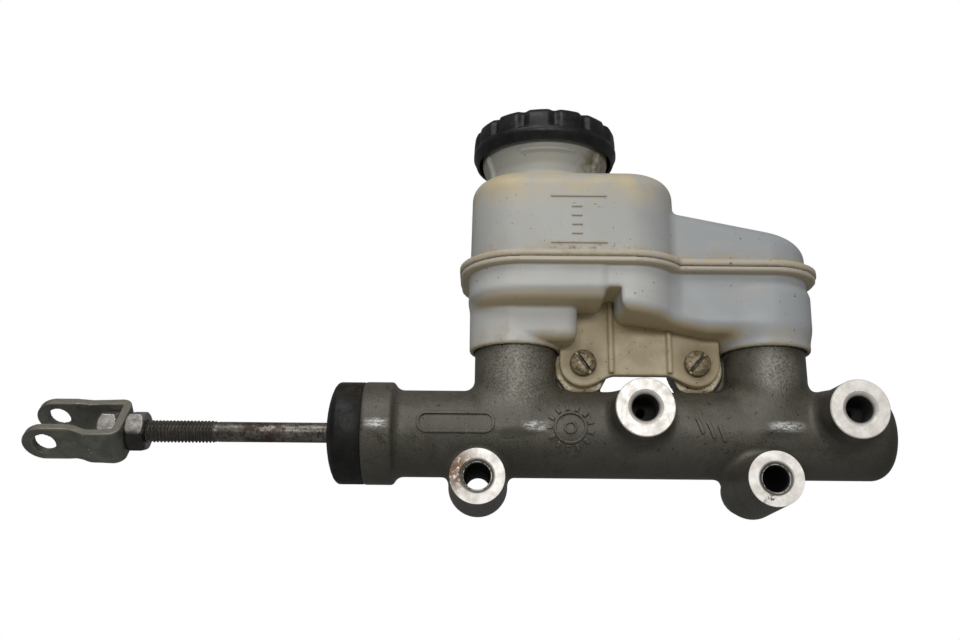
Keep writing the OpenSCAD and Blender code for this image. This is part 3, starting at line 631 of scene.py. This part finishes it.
def casting_field(x, y, z):
    r = np.hypot(y, z)
    shape = rounded(r - BARREL_R, x - BARREL_END, 7.0)
    flare = rounded(r - FLARE_R, slab_field(x, 0, FLARE_L), 0.9)
    shape = fillet(shape, flare, 3.6)
    for tower in TOWERS:
        d = np.hypot(x - tower, y) - np.interp(z, (0, TOWER_TOP), (TOWER_R + 0.25, TOWER_R))
        shape = fillet(shape, rounded(d, slab_field(z, 0, TOWER_TOP), 0.5), 3.8)
    for port in PORTS:
        d = cone_y(x, y, z, port[0], port[2], ((PORT_FRONT, 10.0), (0, 10.8)))
        shape = fillet(shape, rounded(d, slab_field(y, PORT_FRONT + 0.3, 0), 0.25), 3.2)
    for mx in MOUNT_X:
        d = cone_y(x, y, z, mx, MOUNT_Z, ((MOUNT_FRONT, 9.0), (0, 10.4), (MOUNT_BACK, 8.4)))
        shape = fillet(shape, rounded(d, slab_field(y, MOUNT_FRONT + 0.3, MOUNT_BACK), 0.25), 3.2)
    for lug, tower in zip(LUGS, TOWERS):
        out = lug + math.copysign(0.2, tower - lug)
        d = np.maximum(np.hypot(x - out, z - LUG_Z + 0.9) - 9.6, z - 29.3)
        d = fillet(d, box_field(x, z, lug - 5.3, lug + 5.3, 6, 22, 1), 3.0)
        web = box_field(x, z, min(lug, tower), max(lug, tower), 6, 28, 1)
        lug_shape = np.minimum(rounded(d, slab_field(y, -2, 6), 0.5),
                               rounded(web, slab_field(y, -0.6, 5), 0.5))
        shape = fillet(shape, lug_shape, 1.2)
        shape = np.maximum(shape, 2.5 - np.hypot(x - lug, z - LUG_Z))
    shape = np.minimum(shape, np.maximum(r - 15.0, slab_field(x, -9, 1)))
    shape = np.maximum(shape, -np.maximum(r - BORE_R, x - (BARREL_END - 8)))
    for tower in TOWERS:
        d = np.hypot(x - tower, y)
        shape = np.maximum(shape, -np.maximum(d - 11.02, 27 - z))
        shape = np.maximum(shape, -np.maximum(d - 9.8, 13.2 - z))
    for mx in MOUNT_X:
        d = np.hypot(x - mx, z - MOUNT_Z)
        shape = np.maximum(shape, 4.5 - d)
    for port in PORTS:
        d = np.hypot(x - port[0], z - port[2])
        shape = np.maximum(shape, -np.maximum(d - 5.5, y - (PORT_FRONT + 13.2)))
        shape = np.maximum(shape, -np.maximum(d - 1.6, y))
    return shape


points, faces = surface_nets(casting_field, (-10, -35, -31), (188, 19, 38), 0.72)
casting = add_mesh("casting", points, faces, CAST, "root")
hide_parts("cylinder_body")


def raised_mark(name, outline, x0, x1, z0, z1):
    """A cast mark standing out of the front of the barrel; outline is its field seen from there."""
    def field(x, y, z):
        r = np.hypot(y, z)
        return rounded(outline(x, z), np.maximum(r - BARREL_R - 0.7, BARREL_R - 0.6 - r), 0.2)
    points, faces = surface_nets(field, (x0, -16.2, z0), (x1, -11, z1), 0.24)
    return add_mesh(name, points, faces, CAST, "root")


def blank_pad(x, z):
    return np.abs(box_field(x, z, 19.5, 45.5, -1.6, 5.2, 3.0)) - 0.55


def toothed_ring(x, z):
    away, turn = np.hypot(x - 72, z - 0.2), np.arctan2(z - 0.2, x - 72)
    across = np.abs(((turn / (2 * np.pi) * 13) % 1) - 0.5) * 2 * np.pi / 13 * away - 0.65
    teeth = np.maximum(across, np.abs(away - 7.2) - 1.1)
    return np.minimum(teeth, np.minimum(np.abs(away - 5.3), np.abs(away - 1.9)) - 0.45)


def slanted_pips(x, z):
    shape = 99.0
    for x0, z0 in ((116.5, 1.2), (120.2, -0.2), (123.9, -1.4)):
        lean = (x - x0) * 0.94 + (z - z0) * 0.34
        along = (z - z0) * 0.94 - (x - x0) * 0.34
        shape = np.minimum(shape, box_field(lean, along, -0.7, 0.7, -3.2, 3.2, 0.65))
    return shape


raised_mark("cast_pad_outline", blank_pad, 18, 47, -3, 7)
raised_mark("cast_toothed_ring", toothed_ring, 63, 81, -9, 9.5)
raised_mark("cast_pips", slanted_pips, 113, 128, -6.5, 6.5)


def around_y(cx, cz, profile, around=96):
    """Turns (y, radius) points about an axis along y and closes the profile on itself."""
    angles = np.arange(around) / around * 2 * np.pi
    rows = [[(cx + r * math.cos(a), y, cz + r * math.sin(a)) for a in angles] for y, r in profile]
    return np.array(rows).reshape(-1, 3), ring_faces(len(profile), around)


def mount_sleeve(name, x):
    """Machined front face, countersink and wall of a mounting hole, with the rear seat."""
    f, b = MOUNT_FRONT, MOUNT_BACK
    sink = 5.75
    profile = [(f + 0.5, 9.02), (f + 0.04, 9.0), (f, 8.96), (f, sink + 0.1), (f + 0.08, sink),
               (f + 1.2, 4.3), (b - 0.5, 4.3), (b, 4.7), (b + 0.02, 8.2),
               (b - 0.2, 8.22), (b - 0.2, 4.52), (f + 0.5, 4.52)]
    points, faces = around_y(x, MOUNT_Z, profile)
    return add_mesh(name, points, faces, MOUNT_FACE, "root", sharp=35)


def port_liner(name, port):
    """Machined sealing face of a port with its countersink and its M10 x 1 thread."""
    f = PORT_FRONT
    around, pitch, minor, major = 96, 1.0, 4.5, 5.02
    rows = [(f + 0.5, 10.02, 0), (f + 0.35, 10.0, 0), (f + 0.0, 9.7, 0), (f, 6.0, 0),
            (f + 0.08, 5.9, 0), (f + 1.2, 4.55, 0)]
    rows += [(f + 1.3 + i * 0.1, minor, 1) for i in range(102)]
    rows += [(f + 11.6, minor, 0), (f + 12.5, 1.7, 0), (f + 13.1, 1.7, 0), (f + 13.1, 5.45, 0),
             (f + 0.5, 5.45, 0)]
    angles = np.arange(around) / around * 2 * np.pi
    points = []
    for y, radius, thread in rows:
        wave = np.abs(((y / pitch + angles / (2 * np.pi)) % 1) - 0.5) * 2
        r = radius + thread * (major - minor) * np.clip(wave * 1.3 - 0.15, 0, 1)
        points.append(np.stack([port[0] + r * np.cos(angles), np.full(around, y),
                                port[2] + r * np.sin(angles)], 1))
    points = np.concatenate(points)
    return add_mesh(name, points, ring_faces(len(rows), around), PORT_FACE, "root",
                    sharp=30)


for side, x in zip(("left", "right"), MOUNT_X):
    mount_sleeve("mount_face_" + side, x)
for side, port in zip(("primary", "secondary"), PORTS):
    port_liner("port_face_" + side, port)


# ------------------------------------------------------------ reservoir

TALL = (36.9, 111.6, 26.4)
LOW_HALF = 16.7
LOW_START = 88.8
NOTCH = (84.2, 47.6)
SKIRT_R = 16.7


def plan_fields(x, y):
    """Distance from the walls of the tall and of the low lobe, seen from above."""
    tall = box_field(x, y, TALL[0], TALL[1], -TALL[2], TALL[2], 19)
    along = np.maximum(x - TOWERS[1], 0)
    low = np.where(x > TOWERS[1], np.hypot(along, y), np.abs(y)) - LOW_HALF
    return tall, np.maximum(low, LOW_START - x)


def upper_walls(x, y, z):
    tall, low = plan_fields(x, y)
    draft = 0.02 * (z - WELD_Z)
    lobe = rounded(tall + draft, z - ROOF_Z, 6.5)
    slope = (z - (81.3 - 0.205 * (x - 104))) * 0.98
    return fillet(lobe, rounded(low + draft, slope, 5.5), 1.6)


def flange_band(x, y, z, lip, low_z, high_z, r):
    tall, low = plan_fields(x, y)
    return box_field(fillet(tall, low, 3.0), z, -2.2, lip, low_z, high_z, r)


def upper_field(x, y, z):
    walls = upper_walls(x, y, z)
    neck = np.hypot(x - NECK_X, y)
    radius = np.interp(z, (96, 102.5), (21.3, NECK_R))
    turn = np.degrees(np.arctan2(x - NECK_X, -y))
    for rib in (-65, 53):
        ridge = smooth_step(3.0, 1.4, np.abs(turn - rib)) * smooth_step(89, 92, z)
        radius = radius + 1.3 * ridge * smooth_step(104, 101, z)
    bead = smooth_step(0.9, 0.2, np.abs(z - 100.6)) * smooth_step(27, 24, np.abs(turn))
    outer = fillet(walls, rounded(neck - radius - 0.7 * bead, z - 109.9, 0.6), 1.6)
    inner = np.minimum(walls + 2.4, np.maximum(neck - 18.8, 80 - z))
    shell = np.maximum(outer, -inner)
    shell = np.maximum(shell, WELD_Z + 0.1 - z)
    return fillet(shell, flange_band(x, y, z, 3.8, WELD_Z - 0.1, WELD_Z + 2.2, 0.45), 0.8)


def lower_walls(x, y, z):
    tall, low = plan_fields(x, y)
    drop = WELD_Z - z
    lobe = tall + 0.035 * drop
    shallow = rounded(rounded(lobe, 43.6 - z, 4.5), x - NOTCH[0], 2.5)
    bridge = rounded(lobe, NOTCH[1] - z, 1.0)
    floor = np.interp(x, (LOW_START, 104, 121), (39.9, 37.9, 34.3))
    plan = fillet(np.maximum(tall, LOW_START - x), low, 3.0) + 0.02 * drop
    deep = rounded(rounded(plan, floor - z, 4.5), LOW_START - x, 2.0)
    left = np.hypot(x - TOWERS[0], y) - SKIRT_R
    block = box_field(x, y, TOWERS[0] - 6, 75, -SKIRT_R, SKIRT_R, 4.0)
    outlet = np.minimum(rounded(left, slab_field(z, 29.6, 50), 1.0),
                        rounded(block, slab_field(z, 31, 50), 4.0))
    right = np.hypot(x - TOWERS[1], y) - SKIRT_R
    cup = rounded(right, slab_field(z, 29.6, 50), 1.0)
    body = np.minimum(fillet(shallow, bridge, 2.0), deep)
    return fillet(fillet(body, outlet, 2.0), cup, 4.0)


def lower_field(x, y, z):
    walls = lower_walls(x, y, z)
    shell = np.maximum(walls, -np.maximum(walls + 2.4, 43 - z))
    shell = np.maximum(shell, z - (WELD_Z - 0.15))
    for tower in TOWERS:
        d = np.hypot(x - tower, y)
        socket = np.maximum(d - 15.05, z - 38.1)
        shell = np.maximum(shell, -np.maximum(socket, -np.maximum(d - 7.5, 28 - z)))
        shell = np.maximum(shell, -np.maximum(d - 5.5, z - 44))
    return fillet(shell, flange_band(x, y, z, 3.3, WELD_Z - 2.0, WELD_Z - 0.15, 0.4), 0.8)


points, faces = surface_nets(upper_field, (31, -32, 56), (166, 32, 112), 0.8)
upper = add_mesh("upper_shell", points, faces, UPPER_PLASTIC, "root")
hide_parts("reservoir_upper_shell")
points, faces = surface_nets(lower_field, (31, -32, 27), (166, 32, 59), 0.8)
lower = add_mesh("lower_shell", points, faces, LOWER_PLASTIC, "root")


def tab_field(x, y, z):
    ends = np.minimum(np.hypot(x - LUGS[0], z - LUG_Z), np.hypot(x - LUGS[1], z - LUG_Z)) - 8.3
    plate = np.minimum(box_field(x, z, LUGS[0] + 1, LUGS[1] - 1, 20.7, 50, 0.5),
                       box_field(x, z, 72, 84, 30, 46, 0.5))
    flank = box_field(x, z, LUGS[0] - 8.3, LUGS[1] + 8.3, 25, 36, 0.5)
    outline = fillet(fillet(ends, plate, 4.0), flank, 0.5)
    shape = rounded(outline, slab_field(y, -5.5, -2.1), 0.6)
    for rib, top in ((87.6, 48), (108.5, 37)):
        bar = rounded(box_field(x, z, rib - 0.9, rib + 0.9, 21.4, top, 0.4),
                      slab_field(y, -7.0, -3), 0.4)
        shape = fillet(shape, bar, 0.8)
    hole = np.minimum(np.hypot(x - LUGS[0], z - LUG_Z), np.hypot(x - LUGS[1], z - LUG_Z)) - 2.9
    return np.maximum(np.maximum(shape, -hole), -1.0 - lower_walls(x, y, z))


points, faces = surface_nets(tab_field, (67, -8.5, 15), (128, -0.5, 51), 0.5)
tab = add_mesh("screw_tab", points, faces, TAB, "root")
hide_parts("reservoir_lower_shell")
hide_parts("reservoir_lower_shell")


def raised_bar(name, x0, x1, z0, z1, surface_y, material):
    """A small moulded bar standing 0.4 mm out of the tall lobe's front wall."""
    def field(x, y, z):
        walls = upper_walls(x, y, z)
        return rounded(box_field(x, z, x0, x1, z0, z1, min(z1 - z0, x1 - x0) * 0.35),
                       np.maximum(walls - 0.4, -walls - 0.5), 0.15)
    points, faces = surface_nets(field, (x0 - 1, surface_y - 3, z0 - 1), (x1 + 1, surface_y + 3,
                                                                         z1 + 1), 0.2)
    return add_mesh(name, points, faces, material, "root")


for word, z0 in (("high", 80.7), ("low", 63.2)):
    raised_bar("level_line_" + word, 65.2, 85.0, z0, z0 + 0.5, -26, MARK)
for step in range(4):
    raised_bar("level_mark_%d" % step, 72.6, 76.4, 66.6 + 3.4 * step, 67.1 + 3.4 * step, -26, MARK)


# ------------------------------------------------------------ cap

def cap_piece():
    around, scallops = 14 * 20, 14
    rim, top = in_bore(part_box("reservoir_cap")[0])[2], in_bore(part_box("reservoir_cap")[1])[2]
    big = 27.1
    profile = [(rim + 0.3, 25.0, 0), (rim + 0.05, 25.3, 0), (rim, 25.7, 0), (rim + 0.25, 26.0, 0),
               (rim + 2.6, big - 0.25, 0), (rim + 3.0, big, 0), (rim + 4.4, big, 0),
               (rim + 4.8, big - 0.15, 0), (rim + 5.1, big - 0.2, 0.35), (rim + 5.8, big - 0.1, 1),
               (rim + 8.0, big - 0.2, 1), (rim + 10.2, big - 0.45, 1), (rim + 11.4, big - 1.0, 0.95),
               (top - 0.5, big - 1.9, 0.85), (top - 0.08, big - 3.4, 0.6), (top, big - 5.4, 0.15),
               (top, 20.2, 0), (top - 0.7, 19.4, 0), (top - 0.8, 14, 0), (top - 0.8, 7, 0),
               (top - 0.8, 1.2, 0)]
    angles = np.arange(around) / around * 2 * np.pi
    wave = np.abs(((angles / (2 * np.pi) * scallops - 0.2) % 1) - 0.5) * 2
    notch = 1.5 * smooth_step(0.42, 0.0, wave) ** 0.8
    rows = []
    for z, r, share in profile:
        rr = r - notch * share
        rows.append(np.stack([NECK_X + rr * np.cos(angles), rr * np.sin(angles),
                              np.full(around, z)], 1))
    inside = [(top - 2.6, 1.2), (top - 2.6, 24.9), (rim + 0.6, 25.0)]
    for z, r in inside:
        rows.append(np.stack([NECK_X + r * np.cos(angles), r * np.sin(angles),
                              np.full(around, z)], 1))
    points = np.concatenate(rows)
    piece = add_mesh("screw_cap", points, ring_faces(len(rows), around), CAP, "cap",
                     sharp=40)
    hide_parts("reservoir_cap")


cap_piece()


# ------------------------------------------------------------ boot, rod, nuts, clevis, screws

def around_x(profile, around=96, cy=0.0, cz=0.0):
    angles = np.arange(around) / around * 2 * np.pi
    rows = [np.stack([np.full(around, x), cy + r * np.cos(angles), cz + r * np.sin(angles)], 1)
            for x, r in profile]
    return np.concatenate(rows)


def boot_piece():
    outer = [(-0.02, 15.1), (-0.02, 17.85), (-0.3, 18.12), (-8.5, 18.12), (-9.1, 17.95),
             (-9.7, 17.5), (-10.4, 16.6), (-11.2, 14.8), (-11.9, 12.6), (-12.4, 10.4), (-12.8, 8.2),
             (-12.95, 6.8), (-12.9, 6.1), (-12.6, 5.65), (-11.4, 5.6), (-10.2, 6.2), (-10.2, 15.1)]
    piece = add_mesh("rubber_boot", around_x(outer), ring_faces(len(outer), 96), RUBBER, "root",
                     sharp=50)
    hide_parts("dust_boot")


boot_piece()


def threaded_rod():
    tip = in_bore(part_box("push_rod")[0])[0]
    ball = in_bore(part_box("push_rod")[1])[0] - 5.8
    inner_end, pitch, major, minor, around = -53.0, 1.25, 3.98, 3.32, 64
    angles = np.arange(around) / around * 2 * np.pi
    rows = [(tip, 0.3, 0), (tip, 3.0, 0)]
    steps = int((inner_end - tip - 0.4) / (pitch / 12))
    rows += [(tip + 0.2 + i * pitch / 12, major, 1) for i in range(steps)]
    rows += [(inner_end + 0.2, 3.45, 0), (inner_end + 0.9, 3.6, 0), (-30, 3.58, 0), (-12, 3.6, 0),
             (ball - 9.8, 3.6, 0), (ball - 9.2, 3.2, 0)]
    rows += [(ball - 5.8 * math.cos(a), 5.8 * math.sin(a), 0) for a in np.linspace(0.6, 3.08, 20)]
    out = []
    for x, radius, thread in rows:
        wave = np.abs(((x / pitch + angles / (2 * np.pi)) % 1) - 0.5) * 2
        fade = min(1.0, (x - tip) / 1.0, max(0.0, (inner_end - x) / 1.5)) if thread else 0
        r = radius - thread * (major - minor) * np.clip(wave * 1.25 - 0.1, 0, 1) * fade \
            - thread * (1 - fade) * 0.3
        out.append(np.stack([np.full(around, x), r * np.cos(angles), r * np.sin(angles)], 1))
    piece = add_mesh("threaded_push_rod", np.concatenate(out), tube_faces(len(rows), around), ROD,
                     "push_rod_group", sharp=60)
    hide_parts("push_rod")


threaded_rod()


def nut_piece(name, node, x0, x1):
    def field(x, y, z):
        d = np.full(np.broadcast(x, y, z).shape, -99.0)
        for k in range(3):
            a = CLEVIS_TURN + k * math.pi / 3
            d = np.maximum(d, np.abs(y * math.cos(a) + z * math.sin(a)) - 6.5)
        r = np.hypot(y, z)
        faces = slab_field(x, x0, x1)
        chamfer = np.maximum(r + x - x1, r + x0 - x) * 0.707 - 4.5
        solid = rounded(rounded(d, faces, 0.15), chamfer, 0.2)
        return np.maximum(solid, 4.02 - r)
    points, faces = surface_nets(field, (x0 - 0.5, -8, -8), (x1 + 0.5, 8, 8), 0.28)
    piece = add_mesh(name, points, faces, NUT, "push_rod_group", sharp=35)
    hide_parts(node)


nut_piece("hex_lock_nut", "lock_nut", WEB_X + 0.05, WEB_X + 6.6)
nut_piece("hex_inner_nut", "clevis_inner_nut", WEB_X - 9.8, WEB_X - 3.05)


def clevis_field(x, y, z):
    c, s = math.cos(CLEVIS_TURN), math.sin(CLEVIS_TURN)
    v, w = y * c + z * s, z * c - y * s
    step = smooth_step(-103, -95, x)
    v = v - 1.2 * (1 - step)
    outside = v / (9.0 + 1.3 * step) * 10.3
    inside = v / (6.0 + 1.3 * step) * 7.3
    outer = box_field(x, outside, PIN_X - 20, WEB_X, -10.3, 10.3, 4.0)
    inner = box_field(x, inside, PIN_X - 30, WEB_X - 3, -7.3, 7.3, 1.2)
    tip = (np.hypot((x - PIN_X) / 8, w / 6.8) - 1) * 7.2
    half = np.interp(x, (PIN_X, -105, -99, WEB_X - 4), (6.8, 6.8, 6.2, 6.6))
    ear = np.where(x < PIN_X, tip, np.abs(w) - half)
    shape = rounded(np.maximum(outer, -inner), ear, 0.35)
    shape = np.maximum(shape, 4.1 - np.hypot(x - PIN_X, w))
    return np.maximum(shape, -np.maximum(np.hypot(v, w) - 4.1, WEB_X - 5 - x))


points, faces = surface_nets(clevis_field, (-121, -14.5, -14.5), (-83.5, 14.5, 14.5), 0.33)
clevis = add_mesh("bent_clevis", points, faces, CLEVIS, "push_rod_group",
                  sharp=40)
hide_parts("clevis")


def screw_piece(name, x, turn):
    def field(px, y, z):
        c, s = math.cos(turn), math.sin(turn)
        across = (z - LUG_Z) * c - (px - x) * s
        r = np.hypot(px - x, z - LUG_Z)
        dome = np.hypot(r, y + 5.5 - 10.2) - 12.9
        head = rounded(rounded(r - 4.7, slab_field(y, -8.1, -5.55), 0.5), dome, 0.3)
        head = np.maximum(head, -np.maximum(np.abs(across) - 0.62, y + 6.9))
        shank = np.maximum(r - 2.45, slab_field(y, -6, 5))
        return np.minimum(head, shank)
    points, faces = surface_nets(field, (x - 5.2, -8.8, LUG_Z - 5.2), (x + 5.2, 5.6, LUG_Z + 5.2),
                                 0.22)
    return add_mesh(name, points, faces, SCREW, "root", sharp=40)


left_screw = screw_piece("slotted_screw_left", LUGS[0], math.radians(-55))
right_screw = screw_piece("slotted_screw_right", LUGS[1], math.radians(50))
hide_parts("reservoir_screws")
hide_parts("reservoir_screws")


# ------------------------------------------------------------ springs

def spring_piece(name, node, body, turns):
    """A coil spanning the spring's part, carried by its piston's body."""
    low, high = (in_bore(p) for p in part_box(node))
    x0, x1 = low[0], high[0]
    wire = 0.9
    radius = (high[1] - low[1]) / 2 - wire
    steps, sides = turns * 48, 14
    t = np.arange(steps + 1) / 48
    dead, pitch = 1.0, wire * 2.06
    middle = (x1 - x0 - 2 * wire - 2 * pitch) / (turns - 2 * dead)
    x = x0 + wire + np.where(t < dead, t * pitch, np.where(
        t > turns - dead, x1 - x0 - 2 * wire - (turns - t) * pitch, pitch + (t - dead) * middle))
    a = t * 2 * np.pi
    b = np.arange(sides) / sides * 2 * np.pi
    r = radius + wire * np.cos(b)[None, :]
    points = np.stack([x[:, None] + wire * np.sin(b)[None, :], r * np.cos(a)[:, None],
                       r * np.sin(a)[:, None]], -1).reshape(-1, 3)
    faces = tube_faces(steps + 1, sides)
    piece = add_mesh(name, points, faces, SPRING, body)
    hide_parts(node)
    in_row((x0, 0, 0))
    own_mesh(piece)


spring_piece("coil_spring_primary", "primary_spring", "primary_piston_group", 8)
spring_piece("coil_spring_secondary", "secondary_spring", "secondary_piston_group", 5)

for node, material in {
        "cap_diaphragm": SEAL, "tower_grommets": SEAL, "rod_ball_retainer": ZINC,
        "snap_ring": SPRING, "stop_washer": ZINC, "primary_piston": PISTON,
        "primary_rear_seal": SEAL, "primary_cup": SEAL, "primary_cup_washer": ZINC,
        "spring_retainer_screw": ZINC, "primary_spring_retainer": ZINC,
        "secondary_piston": PISTON, "secondary_rear_seal": SEAL, "secondary_pressure_cup": SEAL,
        "secondary_front_cup": SEAL, "secondary_cup_washer": ZINC, "secondary_spring_seat": ZINC,
        "secondary_stop_pin": ZINC}.items():
    for place in frame["nodes"][node].material_slots:
        place.material = material


# ------------------------------------------------------------ studio

def stage_floor():
    mesh = bpy.data.meshes.new("studio_floor")
    size, z = 1.6, -0.42
    mesh.from_pydata([(-size, -size, z), (size, -size, z), (size, size, z), (-size, size, z)], [],
                     [(0, 1, 2, 3)])
    floor = bpy.data.objects.new("studio_floor", mesh)
    bpy.context.scene.collection.objects.link(floor)
    look = Look("floor_paper", Roughness=0.9)
    mesh.materials.append(look.finish(look.mix(look.noise(40, 2), srgb(196, 196, 194),
                                               srgb(204, 204, 203))))


def area_light(name, at, target, size, watts, color=(1, 1, 1)):
    data = bpy.data.lights.new(name, "AREA")
    data.shape = "RECTANGLE"
    data.size, data.size_y = size
    data.energy = watts
    data.color = color
    light = bpy.data.objects.new(name, data)
    light.location = Vector(at)
    light.rotation_euler = (Vector(target) - Vector(at)).to_track_quat("-Z", "Y").to_euler()
    bpy.context.scene.collection.objects.link(light)


def world_light(seen, given):
    """A white backdrop that the camera sees at full strength but that lights the object less."""
    world = bpy.data.worlds.new("studio_world")
    world.use_nodes = True
    tree = world.node_tree
    back = tree.nodes["Background"]
    path = tree.nodes.new("ShaderNodeLightPath")
    pick = tree.nodes.new("ShaderNodeMix")
    pick.inputs["A"].default_value = given
    pick.inputs["B"].default_value = seen
    tree.links.new(path.outputs["Is Camera Ray"], pick.inputs["Factor"])
    tree.links.new(pick.outputs["Result"], back.inputs["Strength"])
    back.inputs["Color"].default_value = (1, 1, 1, 1)
    bpy.context.scene.world = world


def studio_camera():
    """The photograph's viewpoint: a little below the bore, looking up."""
    data = bpy.data.cameras.new("studio_camera")
    data.sensor_width = 36
    data.lens = 38.63
    data.clip_start, data.clip_end = 0.01, 50
    camera = bpy.data.objects.new("studio_camera", data)
    turn = (Matrix.Rotation(math.radians(0.34), 4, "Z")
            @ Matrix.Rotation(math.radians(90 + 15.5), 4, "X")
            @ Matrix.Rotation(math.radians(0.57), 4, "Z"))
    camera.matrix_world = Matrix.Translation(in_row((42.68, -365.3, -59.0))) @ turn
    bpy.context.scene.collection.objects.link(camera)
    bpy.context.scene.camera = camera


stage_floor()
world_light(1.0, 0.2)
middle = in_row((50, 0, 20))
area_light("top_softbox", middle + Vector((-0.15, -0.58, 0.72)), middle, (0.8, 0.5), 3.6)
area_light("front_softbox", middle + Vector((0.02, -0.9, 0.18)), middle, (0.7, 0.14), 2.8)
bpy.context.scene.view_settings.view_transform = "Standard"
studio_camera()
